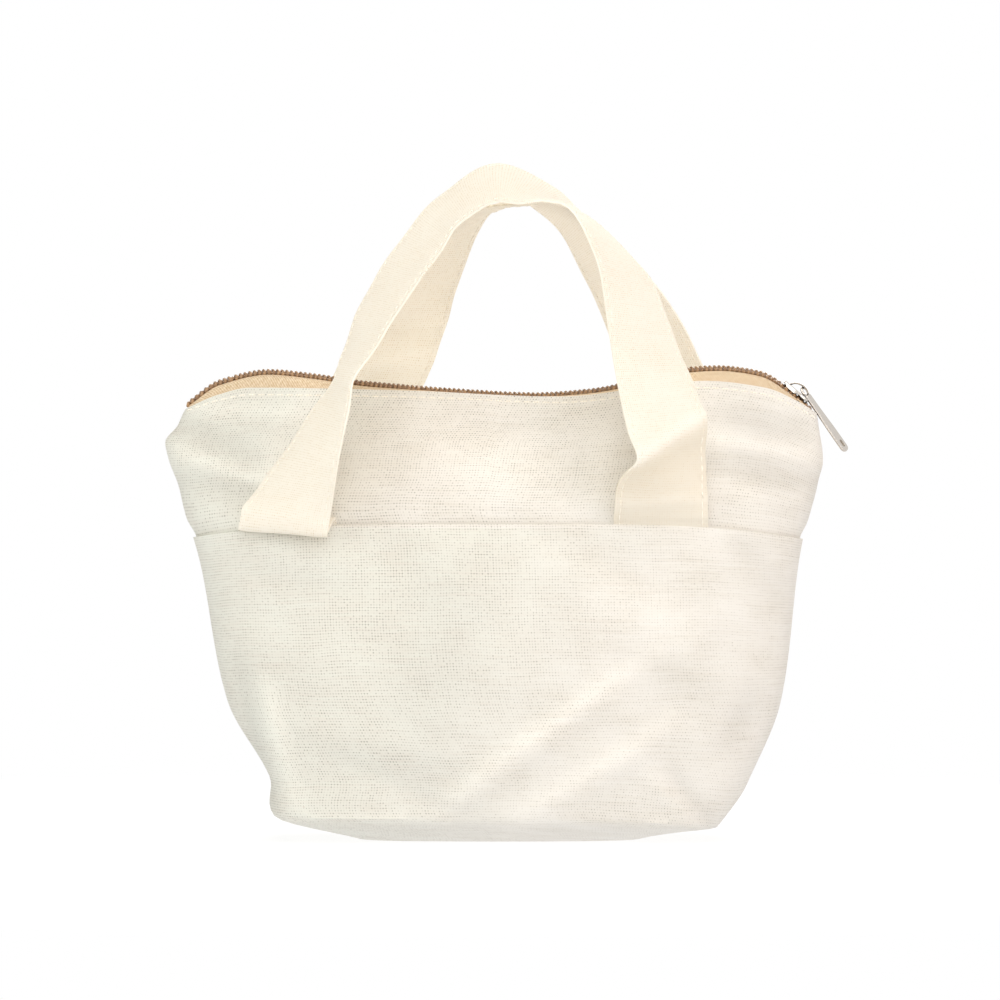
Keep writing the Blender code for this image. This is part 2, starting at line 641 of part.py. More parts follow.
def main():
    for old in list(bpy.data.objects):
        bpy.data.objects.remove(old)
    ecru = material("ecru_open_weave_cotton", (0.86, 0.82, 0.73), 0.9)
    strap = material("cream_plain_weave_cotton", (0.90, 0.85, 0.74), 0.88)
    white = material("white_lining_cotton", (0.84, 0.83, 0.80), 0.9)
    tape = material("tan_twill_tape", (0.70, 0.55, 0.38), 0.85)
    coil = material("brown_polyester_coil", (0.30, 0.19, 0.12), 0.45)
    nickel = material("nickel_plated_zinc", (0.78, 0.76, 0.73), 0.22, 1.0)

    build_lower_body(ecru)
    build_yoke("front_yoke", FRONT, ecru)
    build_yoke("back_yoke", BACK, ecru)
    build_lining("front_lining", FRONT, white)
    build_lining("back_lining", BACK, white)
    build_foot("front_handle_left_foot", FRONT, FRONT_LEFT_FOOT, strap)
    build_foot("front_handle_right_foot", FRONT, FRONT_RIGHT_FOOT, strap)
    build_foot("back_handle_left_foot", BACK, BACK_LEFT_FOOT, strap)
    build_foot("back_handle_right_foot", BACK, BACK_RIGHT_FOOT, strap)
    build_handle("front_handle", FRONT, FRONT_STATIONS, FRONT_LEAN, strap)
    build_handle("back_handle", BACK, BACK_STATIONS, BACK_LEAN, strap)
    build_zip_half(FRONT, tape, coil)
    build_zip_half(BACK, tape, coil)
    build_zip_ends(tape, nickel)
    frame = build_slider(nickel)
    build_pull(frame, nickel)


main()
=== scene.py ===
import math

import bmesh
import bpy
import numpy as np
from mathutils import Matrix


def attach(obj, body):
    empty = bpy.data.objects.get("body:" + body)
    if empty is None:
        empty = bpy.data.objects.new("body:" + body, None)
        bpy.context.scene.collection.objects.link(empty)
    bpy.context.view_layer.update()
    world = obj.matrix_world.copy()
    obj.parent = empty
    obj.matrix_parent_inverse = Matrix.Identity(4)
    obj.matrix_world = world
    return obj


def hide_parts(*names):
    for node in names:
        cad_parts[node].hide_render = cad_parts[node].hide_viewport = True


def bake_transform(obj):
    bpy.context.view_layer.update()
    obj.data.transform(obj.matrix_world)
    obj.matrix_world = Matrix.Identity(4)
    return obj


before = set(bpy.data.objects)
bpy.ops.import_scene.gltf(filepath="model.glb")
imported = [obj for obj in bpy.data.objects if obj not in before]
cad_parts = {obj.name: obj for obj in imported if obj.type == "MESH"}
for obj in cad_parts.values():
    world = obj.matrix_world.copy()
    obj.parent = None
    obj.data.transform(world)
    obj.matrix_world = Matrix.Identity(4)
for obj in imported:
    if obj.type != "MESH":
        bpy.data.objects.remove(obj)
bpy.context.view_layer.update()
print("frame loaded:", len(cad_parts), "nodes")

mm = 0.001
front, back = -1, 1


# camera, light and floor come first, so every later render has the photo's frame

shot = {
    "aim": (2.2 * mm, 0, 125 * mm),
    "distance": 2.6,        # long lens: the photo shows next to no perspective
    "elevation": 0.3,       # degrees: the camera stands level with the middle of the bag
    "frameWidth": 0.370,    # what the picture takes in at the bag
}


def addCamera():
    lens = bpy.data.cameras.new("shotCamera")
    lens.sensor_width = 36
    lens.lens = 36 * shot["distance"] / shot["frameWidth"]
    lens.clip_end = 20
    camera = bpy.data.objects.new("shotCamera", lens)
    rise = math.radians(shot["elevation"])
    x, y, z = shot["aim"]
    camera.location = (x, y - shot["distance"] * math.cos(rise), z + shot["distance"] * math.sin(rise))
    camera.rotation_euler = (math.pi / 2 - rise, 0, 0)
    bpy.context.scene.collection.objects.link(camera)
    bpy.context.scene.camera = camera


def linear(hexColour):
    parts = [int(hexColour[i:i + 2], 16) / 255 for i in (1, 3, 5)]
    return tuple(c / 12.92 if c <= 0.04045 else ((c + 0.055) / 1.055) ** 2.4 for c in parts) + (1,)


def node(tree, kind, links=None, **settings):
    made = tree.nodes.new("ShaderNode" + kind)
    for key, value in settings.items():
        setattr(made, key, value)
    for socket, value in (links or {}).items():
        if isinstance(value, bpy.types.Node):
            value = value.outputs[0]
        if isinstance(value, bpy.types.NodeSocket):
            tree.links.new(value, made.inputs[socket])
        else:
            made.inputs[socket].default_value = value
    return made


lamps = {
    # name: place, aim, size in metres, power in watts, colour
    "topSoftbox": ((0.1, -0.70, 1.25), (0, 0, 0.1), 1.2, 8.4, "#FFFCF8"),
    "coolLeft": ((-1.25, -0.80, 0.50), (0, 0, 0.1), 0.8, 6.0, "#F4F8F0"),
    "warmRight": ((1.25, -0.95, 0.55), (0, 0, 0.1), 0.7, 6.0, "#FFF0E8"),
    "frontFill": ((0.1, -2.00, 0.60), (0, 0, 0.1), 1.0, 6.0, "#FFFCF8"),
    "behind": ((0.2, 1.3, 0.8), (0, 0, 0.1), 1.2, 18.0, "#FFFDFA"),
}
worldLook = {"fill": 0.38, "tint": "#FFFEFC"}


def addLamps():
    for name, (place, aim, size, power, colour) in lamps.items():
        light = bpy.data.lights.new(name, "AREA")
        light.size = size
        light.energy = power
        light.color = linear(colour)[:3]
        lamp = bpy.data.objects.new(name, light)
        lamp.location = place
        direction = np.array(aim) - np.array(place)
        direction = direction / np.linalg.norm(direction)
        lamp.rotation_euler = (math.acos(-direction[2]), 0,
                               math.atan2(direction[1], direction[0]) - math.pi / 2)
        bpy.context.scene.collection.objects.link(lamp)


def seenByEye(tree):
    # 1 for camera, mirror and glass rays, 0 for the light that falls on the bag
    path = node(tree, "LightPath")
    either = node(tree, "Math", {0: path.outputs["Is Camera Ray"], 1: path.outputs["Is Glossy Ray"]},
                  operation="MAXIMUM")
    return node(tree, "Math", {0: either, 1: path.outputs["Is Transmission Ray"]},
                operation="MAXIMUM").outputs[0]


def addWorld():
    world = bpy.data.worlds.new("whiteRoom")
    bpy.context.scene.world = world
    world.use_nodes = True
    tree = world.node_tree
    tree.nodes.clear()
    fill = node(tree, "Background", {"Color": linear(worldLook["tint"]), "Strength": worldLook["fill"]})
    white = node(tree, "Background", {"Color": (1, 1, 1, 1), "Strength": 1.0})
    mix = node(tree, "MixShader", {0: seenByEye(tree), 1: fill, 2: white})
    node(tree, "OutputWorld", {"Surface": mix})


floorLook = {"half": 3.0, "ownLight": 0.80, "givesOff": 1.00, "shadowTakes": 0.26, "fadeFrom": 0.30,
             "fadeTo": 0.55}


def addFloor():
    half = floorLook["half"]
    mesh = bpy.data.meshes.new("floor")
    mesh.from_pydata([(-half, -half, 0), (half, -half, 0), (half, half, 0), (-half, half, 0)], [],
                     [(0, 1, 2, 3)])
    floor = bpy.data.objects.new("floor", mesh)
    bpy.context.scene.collection.objects.link(floor)
    # lit through like a light table: only a faint shadow stays
    paper = bpy.data.materials.new("litBackdropPaper")
    paper.use_nodes = True
    tree = paper.node_tree
    tree.nodes.clear()
    thin = node(tree, "BsdfDiffuse", {"Color": (floorLook["shadowTakes"],) * 3 + (1,)})
    glow = node(tree, "Emission", {"Color": (1, 1, 1, 1), "Strength": floorLook["ownLight"]})
    near = node(tree, "AddShader", {0: thin, 1: glow})
    far = node(tree, "Emission", {"Color": (1, 1, 1, 1), "Strength": 1.0})
    place = node(tree, "TexCoord").outputs["Object"]
    away = node(tree, "VectorMath", {0: place}, operation="LENGTH").outputs["Value"]
    fade = node(tree, "MapRange", {0: away, 1: floorLook["fadeFrom"], 2: floorLook["fadeTo"]},
                interpolation_type="SMOOTHSTEP")
    seen = node(tree, "MixShader", {0: fade, 1: near, 2: far})
    glowBack = node(tree, "Emission", {"Color": (1, 1, 1, 1), "Strength": floorLook["givesOff"]})
    both = node(tree, "MixShader", {0: seenByEye(tree), 1: glowBack, 2: seen})
    node(tree, "OutputMaterial", {"Surface": both})
    mesh.materials.append(paper)


bpy.context.scene.view_settings.view_transform = "Standard"
addCamera()
addLamps()
addWorld()
addFloor()
print("camera, lamps and floor set")


# cloth, thread, tape and metal

canvasLook = {
    "pale": "#F4F0E9", "shade": "#E7E1D6", "coolShade": "#EEEDE3", "hole": "#6E6452", "fleck": "#A5754A",
    "thread": 1.05,     # mm; the cloth has a thread every 0.9 mm, drawn a little coarser so that it shows
    "holeFrom": 0.77, "slub": 0.7, "bump": 0.14, "roughness": 0.92, "through": 0.12,
    "valleyShade": "#EFEFEF",
}
strapLook = {
    "pale": "#FFFEFA", "shade": "#FEF9F0", "coolShade": "#FFFDF7", "hole": "#CBB68E", "fleck": "#A5754A",
    "thread": 0.90,     # mm; the real strap cloth is finer, drawn this coarse so that it shows
    "holeFrom": 0.77, "slub": 0.5, "bump": 0.25, "roughness": 0.9, "through": 0.27,
    "valleyShade": "#F0EADF",
}
liningLook = {
    "pale": "#F2F0EA", "shade": "#E6E3DB", "coolShade": "#F2F0EA", "hole": "#C9C4B8", "fleck": "#C9C4B8",
    "thread": 0.8, "holeFrom": 0.78, "slub": 0.3, "bump": 0.2, "roughness": 0.9, "through": 0.1,
    "valleyShade": "#EFEFEF",
}

# painted light in the cloth's colour: a greenish shaded side, a warm lit side, and painted highlight on the
# backs of sharp folds
paintedClothLight = {
    "slant": -0.47,             # painted light: the greenish shaded side and the warm lit side of the cloth meet along a slanted line
    "upperFrom": 115 * mm, "upperShift": 95 * mm,
    # painted highlight: the colour multiplied onto the backs of sharp folds
    "ridgeHighlight": (1.09, 1.09, 1.09, 1),
}


def plainWeave(name, look):
    # unbleached cotton, loosely woven: pinholes between the threads, slubby weft,
    # soft fuzz, stray brown husk flecks
    cloth = bpy.data.materials.new(name)
    cloth.use_nodes = True
    tree = cloth.node_tree
    shader = tree.nodes["Principled BSDF"]
    place = node(tree, "UVMap", uv_map="weave").outputs[0]
    perThread = 1 / (look["thread"] * mm)
    wander = node(tree, "TexNoise", {"Vector": place, "Scale": 1 / (24 * mm), "Detail": 1.0})
    shift = node(tree, "VectorMath", {0: wander.outputs["Color"], 1: (0.5, 0.5, 0.5)}, operation="SUBTRACT")
    shift = node(tree, "VectorMath", {0: shift, 3: 1.6}, operation="SCALE")
    threads = node(tree, "VectorMath", {0: place, 3: perThread}, operation="SCALE")
    threads = node(tree, "VectorMath", {0: threads, 1: shift}, operation="ADD")
    parts = node(tree, "SeparateXYZ", {0: threads})
    between = []
    for axis in (0, 1):
        turn = node(tree, "Math", {0: parts.outputs[axis], 1: math.pi}, operation="MULTIPLY")
        wave = node(tree, "Math", {0: turn}, operation="SINE")
        between.append(node(tree, "Math", {0: wave}, operation="ABSOLUTE").outputs[0])
    gap = node(tree, "Math", {0: between[0], 1: between[1]}, operation="MULTIPLY")

    # thick and thin threads: long along the thread, one thread wide
    stretch = node(tree, "VectorMath", {0: threads, 1: (0.05, 0.9, 1.0)}, operation="MULTIPLY")
    slub = node(tree, "TexNoise", {"Vector": stretch, "Scale": 1.0, "Detail": 3.0})
    upright = node(tree, "VectorMath", {0: threads, 1: (0.9, 0.04, 1.0)}, operation="MULTIPLY")
    warp = node(tree, "TexNoise", {"Vector": upright, "Scale": 1.0, "Detail": 2.0})
    uneven = node(tree, "Math", {0: slub, 1: warp}, operation="ADD")
    cloud = node(tree, "TexNoise", {"Vector": place, "Scale": 1 / (18 * mm), "Detail": 3.0})
    uneven = node(tree, "Math", {0: cloud, 1: 1.6, 2: uneven},
                  operation="MULTIPLY_ADD")
    # the pinholes also open wider and darker left of the same slanted line as the painted shaded side, adding
    # painted shade there
    spot = node(tree, "SeparateXYZ", {0: node(tree, "TexCoord").outputs["Object"]})
    along = node(tree, "Math", {0: spot.outputs[2], 1: paintedClothLight["slant"], 2: spot}, operation="MULTIPLY_ADD")
    opening = node(tree, "MapRange", {0: along, 1: -50 * mm, 2: 20 * mm, 3: 0.15, 4: -0.40})
    uneven = node(tree, "Math", {0: uneven, 1: opening}, operation="ADD")
    loose = node(tree, "MapRange", {0: uneven, 1: 1.3, 2: 2.3, 3: look["holeFrom"] + 0.14,
                                              4: look["holeFrom"] - 0.16})
    cell = node(tree, "VectorMath", {0: threads}, operation="FLOOR")
    chance = node(tree, "TexWhiteNoise", {"Vector": cell}, noise_dimensions="2D")
    depth = node(tree, "MapRange", {0: chance.outputs["Value"], 3: 0.05, 4: 1.0})
    hole = node(tree, "MapRange", {0: gap, 1: loose, 2: 0.95, 3: 0.0,
                                             4: depth})

    tone = node(tree, "Math", {0: slub, 1: cloud}, operation="MULTIPLY")
    tone = node(tree, "MapRange", {0: tone, 1: 0.12, 2: 0.42, 3: 0.0, 4: look["slub"]})
    # the painted warm light reaches further to the left on the upper panels than on the lower body
    upper = node(tree, "Math", {0: spot.outputs[2], 1: paintedClothLight["upperFrom"]}, operation="GREATER_THAN")
    paintedWarmLight = node(tree, "Math", {0: upper, 1: paintedClothLight["upperShift"], 2: along},
                  operation="MULTIPLY_ADD")
    # painted light: the greenish shade colour left of the line, the pale lit colour right of it
    side = node(tree, "MapRange", {0: paintedWarmLight, 1: -60 * mm, 2: 10 * mm})
    pale = node(tree, "Mix", {0: side, 6: linear(look["coolShade"]), 7: linear(look["pale"])},
                data_type="RGBA")
    body = node(tree, "Mix", {0: tone, 6: pale.outputs[2], 7: linear(look["shade"])},
                data_type="RGBA")
    pitted = node(tree, "Mix", {0: hole, 6: body.outputs[2], 7: linear(look["hole"])},
                  data_type="RGBA")
    specks = node(tree, "TexVoronoi", {"Vector": place, "Scale": 1 / (26 * mm)})
    speck = node(tree, "MapRange", {0: specks.outputs["Distance"], 1: 0.014, 2: 0.022, 3: 0.8, 4: 0.0})
    flecked = node(tree, "Mix", {0: speck, 6: pitted.outputs[2], 7: linear(look["fleck"])},
                   data_type="RGBA")
    # painted shade makes the cloth a little greyer down in its sharp folds and painted highlight makes it
    # paler along their backs
    fold = node(tree, "Attribute", attribute_name="crease")
    paintedFoldLight = node(tree, "MapRange", {0: fold.outputs["Fac"], 1: -1.0, 2: 1.0})
    tint = node(tree, "Mix", {0: paintedFoldLight, 6: linear(look["valleyShade"]), 7: paintedClothLight["ridgeHighlight"]},
                data_type="RGBA")
    toned = node(tree, "VectorMath", {0: flecked.outputs[2], 1: tint.outputs[2]}, operation="MULTIPLY")
    tree.links.new(toned.outputs[0], shader.inputs["Base Color"])

    height = node(tree, "Math", {0: hole, 1: -2.0, 2: slub}, operation="MULTIPLY_ADD")
    bump = node(tree, "Bump", {"Height": height, "Strength": look["bump"],
                                         "Distance": 0.35 * mm})
    tree.links.new(bump.outputs[0], shader.inputs["Normal"])
    shader.inputs["Roughness"].default_value = look["roughness"]
    shader.inputs["Specular IOR Level"].default_value = 0.15
    shader.inputs["Sheen Weight"].default_value = 0.10
    shader.inputs["Sheen Roughness"].default_value = 0.6
    # thin cotton lets some of the light from behind through
    glow = node(tree, "BsdfTranslucent", {"Color": linear("#FFFAF1")})
    both = node(tree, "MixShader", {0: look["through"], 1: shader, 2: glow})
    tree.links.new(both.outputs[0], tree.nodes["Material Output"].inputs["Surface"])
    return cloth


tapeLook = {"pale": "#ECDABF", "shade": "#C8AA83", "rib": 0.95}


def twillTape():
    # woven polyester twill: fine slanted ribs, tan, faint synthetic gloss
    tape = bpy.data.materials.new("tanTwillTape")
    tape.use_nodes = True
    tree = tape.node_tree
    shader = tree.nodes["Principled BSDF"]
    place = node(tree, "UVMap", uv_map="weave").outputs[0]
    parts = node(tree, "SeparateXYZ", {0: place})
    slant = node(tree, "Math", {0: parts.outputs[1], 1: 0.8, 2: parts}, operation="MULTIPLY_ADD")
    turn = node(tree, "Math", {0: slant, 1: 2 * math.pi / (tapeLook["rib"] * mm)},
                operation="MULTIPLY")
    rib = node(tree, "Math", {0: turn}, operation="SINE")
    picks = node(tree, "TexNoise", {"Vector": place, "Scale": 1 / (0.9 * mm), "Detail": 1.0})
    mixed = node(tree, "Math", {0: rib, 1: 0.22, 2: picks}, operation="MULTIPLY_ADD")
    colour = node(tree, "MapRange", {0: mixed, 1: 0.15, 2: 0.85, 3: 0.0, 4: 1.0})
    body = node(tree, "Mix", {0: colour, 6: linear(tapeLook["shade"]),
                                        7: linear(tapeLook["pale"])}, data_type="RGBA")
    tree.links.new(body.outputs[2], shader.inputs["Base Color"])
    bump = node(tree, "Bump", {"Height": mixed, "Strength": 0.4, "Distance": 0.2 * mm})
    tree.links.new(bump.outputs[0], shader.inputs["Normal"])
    shader.inputs["Roughness"].default_value = 0.75
    shader.inputs["Specular IOR Level"].default_value = 0.3
    return tape


def mouldedCoil():
    # extruded polyester coil: semi-gloss brown with paler patches at random
    coil = bpy.data.materials.new("brownPolyesterCoil")
    coil.use_nodes = True
    tree = coil.node_tree
    shader = tree.nodes["Principled BSDF"]
    place = node(tree, "TexCoord").outputs["Object"]
    patch = node(tree, "TexNoise", {"Vector": place, "Scale": 1 / (1.6 * mm), "Detail": 2.0})
    share = node(tree, "MapRange", {0: patch, 1: 0.3, 2: 0.7, 3: 0.0, 4: 1.0})
    body = node(tree, "Mix", {0: share, 6: linear("#7C5A3C"), 7: linear("#B59068")},
                data_type="RGBA")
    tree.links.new(body.outputs[2], shader.inputs["Base Color"])
    shader.inputs["Roughness"].default_value = 0.38
    shader.inputs["IOR"].default_value = 1.57
    return coil


def nickelPlate():
    # barrel-polished zinc under bright nickel: mirror-like with fine tumbling marks, and painted shade
    # darkening its corners and recesses
    nickel = bpy.data.materials.new("nickelPlatedZinc")
    nickel.use_nodes = True
    tree = nickel.node_tree
    shader = tree.nodes["Principled BSDF"]
    place = node(tree, "TexCoord").outputs["Object"]
    marks = node(tree, "TexNoise", {"Vector": place, "Scale": 1 / (0.9 * mm), "Detail": 4.0})
    rough = node(tree, "MapRange", {0: marks, 1: 0.3, 2: 0.75, 3: 0.16, 4: 0.34})
    tree.links.new(rough.outputs[0], shader.inputs["Roughness"])
    tint = node(tree, "Mix", {0: marks, 6: linear("#D8D1C9"), 7: linear("#C2BBB2")},
                data_type="RGBA")
    # painted shade: the colour turns dark brown-grey where ambient occlusion finds corners and recesses
    corner = node(tree, "AmbientOcclusion", {"Distance": 2.0 * mm}, samples=8)
    unshadedShare = node(tree, "MapRange", {0: corner.outputs["AO"], 1: 0.25, 2: 0.85})
    paintedCornerShade = node(tree, "Mix", {0: unshadedShare, 6: linear("#5B5046"), 7: tint.outputs[2]},
                  data_type="RGBA")
    tree.links.new(paintedCornerShade.outputs[2], shader.inputs["Base Color"])
    bump = node(tree, "Bump", {"Height": marks, "Strength": 0.12, "Distance": 0.1 * mm})
    tree.links.new(bump.outputs[0], shader.inputs["Normal"])
    shader.inputs["Metallic"].default_value = 1.0
    return nickel


def sewingThread():
    # mercerised cotton thread: two plies twisted, slight lustre
    thread = bpy.data.materials.new("creamSewingThread")
    thread.use_nodes = True
    tree = thread.node_tree
    shader = tree.nodes["Principled BSDF"]
    place = node(tree, "TexCoord").outputs["Object"]
    ply = node(tree, "TexWave", {"Vector": place, "Scale": 1 / (3.0 * mm), "Distortion": 2.0})
    body = node(tree, "Mix", {0: ply.outputs[1], 6: linear("#F4EBDA"), 7: linear("#FFFAF0")},
                data_type="RGBA")
    tree.links.new(body.outputs[2], shader.inputs["Base Color"])
    shader.inputs["Roughness"].default_value = 0.7
    shader.inputs["Sheen Weight"].default_value = 0.1
    return thread


canvas = plainWeave("ecruOpenWeaveCotton", canvasLook)
strapCotton = plainWeave("creamFineCotton", strapLook)
liningCotton = plainWeave("whiteLiningCotton", liningLook)
tapeTwill = twillTape()
coilPlastic = mouldedCoil()
nickel = nickelPlate()
threadCotton = sewingThread()
print("materials ready")


# curves and meshes

def monotone(table, at):
    # runs through the table's points without swinging past any of them
    known = np.array(table, float)
    x, y = known[:, 0], known[:, 1:]
    step = np.diff(x)[:, None]
    slope = np.diff(y, axis=0) / step
    tangent = np.zeros_like(y)
    same = slope[1:] * slope[:-1] > 0
    total = np.where(same, slope[1:] + slope[:-1], 1)
    tangent[1:-1] = np.where(same, 2 * slope[1:] * slope[:-1] / total, 0)
    tangent[0], tangent[-1] = slope[0], slope[-1]
    at = np.clip(np.atleast_1d(at).astype(float), x[0], x[-1])
    k = np.clip(np.searchsorted(x, at, side="right") - 1, 0, len(x) - 2)
    s = ((at - x[k]) / (x[k + 1] - x[k]))[:, None]
    ends = y[k] * (2 * s**3 - 3 * s**2 + 1) + y[k + 1] * (3 * s**2 - 2 * s**3)
    return ends + step[k] * (tangent[k] * (s**3 - 2 * s**2 + s) + tangent[k + 1] * (s**3 - s**2))


def curveThrough(points, steps):
    p = np.array(points, float)
    p = np.vstack([2 * p[0] - p[1], p, 2 * p[-1] - p[-2]])
    at = np.linspace(0, len(p) - 3, steps + 1)
    k = np.minimum(at.astype(int), len(p) - 4)
    s = (at - k)[:, None]
    a, b, c, d = p[k], p[k + 1], p[k + 2], p[k + 3]
    return 0.5 * (2 * b + (c - a) * s + (2 * a - 5 * b + 4 * c - d) * s**2 + (3 * b - a - 3 * c + d) * s**3)


def addPiece(name, points, faces, finish, uvs=None, sharp=50, crease=None):
    mesh = bpy.data.meshes.new(name)
    mesh.from_pydata(np.asarray(points).tolist(), [], faces)
    if uvs is not None:
        layer = mesh.uv_layers.new(name="weave")
        flat = np.concatenate([np.asarray(u, np.float32).reshape(-1, 2) for u in uvs])
        layer.data.foreach_set("uv", flat.ravel())
    mesh.materials.append(finish)
    turner = bmesh.new()
    turner.from_mesh(mesh)
    bmesh.ops.recalc_face_normals(turner, faces=turner.faces)
    turner.to_mesh(mesh)
    turner.free()
    # the crease values paint fold shade and highlight into the cloth's colour
    if crease is not None:
        depth = mesh.attributes.new("crease", "FLOAT", "POINT")
        depth.data.foreach_set("value", np.asarray(crease, np.float32).ravel())
    mesh.shade_smooth()
    mesh.set_sharp_from_angle(angle=math.radians(sharp))
    piece = bpy.data.objects.new(name, mesh)
    bpy.context.scene.collection.objects.link(piece)
    return piece


def clothShell(outer, inner, uv, ring=False, cap=False):
    # faces and corner uvs of a thin cloth body between two grids; uv has one more column on a ring
    rows, columns = outer.shape[:2]
    points = np.concatenate([outer.reshape(-1, 3), inner.reshape(-1, 3)])
    base = rows * columns
    faces, uvs = [], []

    def put(corners):
        faces.append([side * base + r * columns + c % columns for side, r, c in corners])
        uvs.append([uv[r][c] for _, r, c in corners])

    across = columns if ring else columns - 1
    for r in range(rows - 1):
        for c in range(across):
            put([(0, r, c), (0, r, c + 1), (0, r + 1, c + 1), (0, r + 1, c)])
            put([(1, r, c), (1, r + 1, c), (1, r + 1, c + 1), (1, r, c + 1)])
    for c in range(across):
        put([(0, rows - 1, c), (0, rows - 1, c + 1), (1, rows - 1, c + 1), (1, rows - 1, c)])
        if not cap:
            put([(0, 0, c), (1, 0, c), (1, 0, c + 1), (0, 0, c + 1)])
    if cap:
        put([(0, 0, c) for c in range(columns)])
        put([(1, 0, c) for c in range(columns)])
    if not ring:
        for r in range(rows - 1):
            put([(0, r, 0), (0, r + 1, 0), (1, r + 1, 0), (1, r, 0)])
            put([(0, r, columns - 1), (1, r, columns - 1), (1, r + 1, columns - 1), (0, r + 1, columns - 1)])
    return points, faces, uvs


def tubeAlong(path, radius, sides=6, roundEnds=True, flat=1.0):
    # one closed tube along points, drawn to rounded ends; flat thins it across the helper direction
    path = np.asarray(path, float)
    along = np.gradient(path, axis=0)
    along /= np.linalg.norm(along, axis=1)[:, None]
    helper = np.array([0, 0, 1.0]) if abs(along[0][2]) < 0.9 else np.array([1.0, 0, 0])
    u = np.cross(along, helper)
    u /= np.linalg.norm(u, axis=1)[:, None]
    v = np.cross(along, u)
    sizes = np.full(len(path), radius)
    if roundEnds:
        path = np.vstack([path[0] - along[0] * radius * 0.6, path, path[-1] + along[-1] * radius * 0.6])
        u, v = np.vstack([u[0], u, u[-1]]), np.vstack([v[0], v, v[-1]])
        sizes = np.concatenate([[radius * 0.45], sizes, [radius * 0.45]])
    turn = np.linspace(0, 2 * math.pi, sides, endpoint=False)
    points = [p + s * (math.cos(t) * a + flat * math.sin(t) * b) for p, a, b, s in zip(path, u, v, sizes)
              for t in turn]
    faces = [list(range(sides)), list(range((len(path) - 1) * sides, len(path) * sides))]
    for r in range(len(path) - 1):
        for c in range(sides):
            d = (c + 1) % sides
            faces.append([r * sides + c, r * sides + d, (r + 1) * sides + d, (r + 1) * sides + c])
    return points, faces


def gather(parts):
    points, faces = [], []
    for somePoints, someFaces in parts:
        shift = len(points)
        points += [tuple(p) for p in somePoints]
        faces += [[i + shift for i in face] for face in someFaces]
    return points, faces


def stitchLine(name, path, outward, finish=None, long=2.6 * mm, gap=0.9 * mm, thick=0.28 * mm):
    # a row of sewn stitches along a path: each dips into the cloth at its ends
    path, outward = np.asarray(path, float), np.asarray(outward, float)
    length = np.concatenate([[0], np.cumsum(np.linalg.norm(np.diff(path, axis=0), axis=1))])
    parts = []
    start = 0.4 * long
    while start + long < length[-1]:
        at = start + long * np.array([0, 0.2, 0.5, 0.8, 1.0])
        line = np.column_stack([np.interp(at, length, path[:, i]) for i in range(3)])
        out = np.column_stack([np.interp(at, length, outward[:, i]) for i in range(3)])
        sink = np.array([-0.9, 0.1, 0.45, 0.1, -0.9])[:, None] * thick
        parts.append(tubeAlong(line + out * sink, thick, 5))
        start += long + gap
    return addPiece(name, *gather(parts), finish or threadCotton)


# the bag's body

bag = {
    # height, half width, half depth, squareness and sideways lean of the outline, from the floor up (m)
    "levels": (
        (0, 0.052, 0.026, 3, 0.002),
        (0.0095, 0.0815, 0.047, 6, 0.0005),
        (0.024, 0.0880, 0.0485, 5.2, 0.0052),
        (0.052, 0.1021, 0.050, 4.4, 0.0037),
        (0.1165, 0.1125, 0.043, 4, 0.0015),
        (0.1225, 0.1153, 0.0409, 3.8, 0.0010),
        (0.1325, 0.1178, 0.0343, 3.4, 0.0009),
        (0.1417, 0.1205, 0.0268, 3.1, 0),
        (0.1476, 0.1217, 0.0223, 3, 0),
        (0.1547, 0.1190, 0.0173, 3.6, 0.0020),
        (0.165, 0.11665, 0.0095, 5, 0.00265),
    ),
    "crease": 0.0095, "belly": 0.052, "seam": 0.1165, "mouth": 0.165,
    "seamDroop": 0.0055, "earDrop": 0.0045, "cloth": 0.9 * mm,
}
edgeWave = (
    (-0.114, -0.0063), (-0.102, -0.0012), (-0.090, 0.0015), (-0.035, 0.0005), (0.024, -0.0018),
    (0.078, 0.0040), (0.100, 0.0015), (0.112, -0.0035), (0.1203, -0.0085),
)
chainWave = (
    (-0.1132, -0.0048), (-0.1014, 0.0032), (-0.083, 0.0070), (-0.068, 0.0056), (-0.048, 0.0027),
    (-0.010, -0.0004),
    (0.015, -0.0016), (0.0355, -0.0002), (0.0744, 0.0080), (0.083, 0.0084), (0.0981, 0.0065),
    (0.1106, -0.0010),
    (0.1174, -0.0069),
)


def edgeHeight(x):
    return bag["mouth"] + monotone(edgeWave, x)[:, 0]


def chainHeight(x):
    return bag["mouth"] + monotone(chainWave, x)[:, 0]


def liftedHeight(x, height):
    # the drooping seam, the wavy mouth and the low base corner on the right
    rise = np.clip((height - bag["belly"]) / (bag["seam"] - bag["belly"]), 0, 1)
    up = np.clip((height - bag["seam"]) / (bag["mouth"] - bag["seam"]), 0, 1)
    droop = -bag["seamDroop"] * np.abs(x / 0.1125) ** 4
    near = min(height / bag["crease"], max(0, (bag["belly"] - height) / (bag["belly"] - bag["crease"])))
    corner = np.clip((x - 0.0204) / 0.0627, 0, 1) ** 2
    wave = monotone(edgeWave, x)[:, 0]
    sink = np.where(x < 0, up**5, up)        # the left shoulder stands higher than the right one
    fade = np.where(x < 0, (1 - up) ** 2.5, 1 - up)
    return height + droop * rise * fade + wave * sink - bag["earDrop"] * corner * near


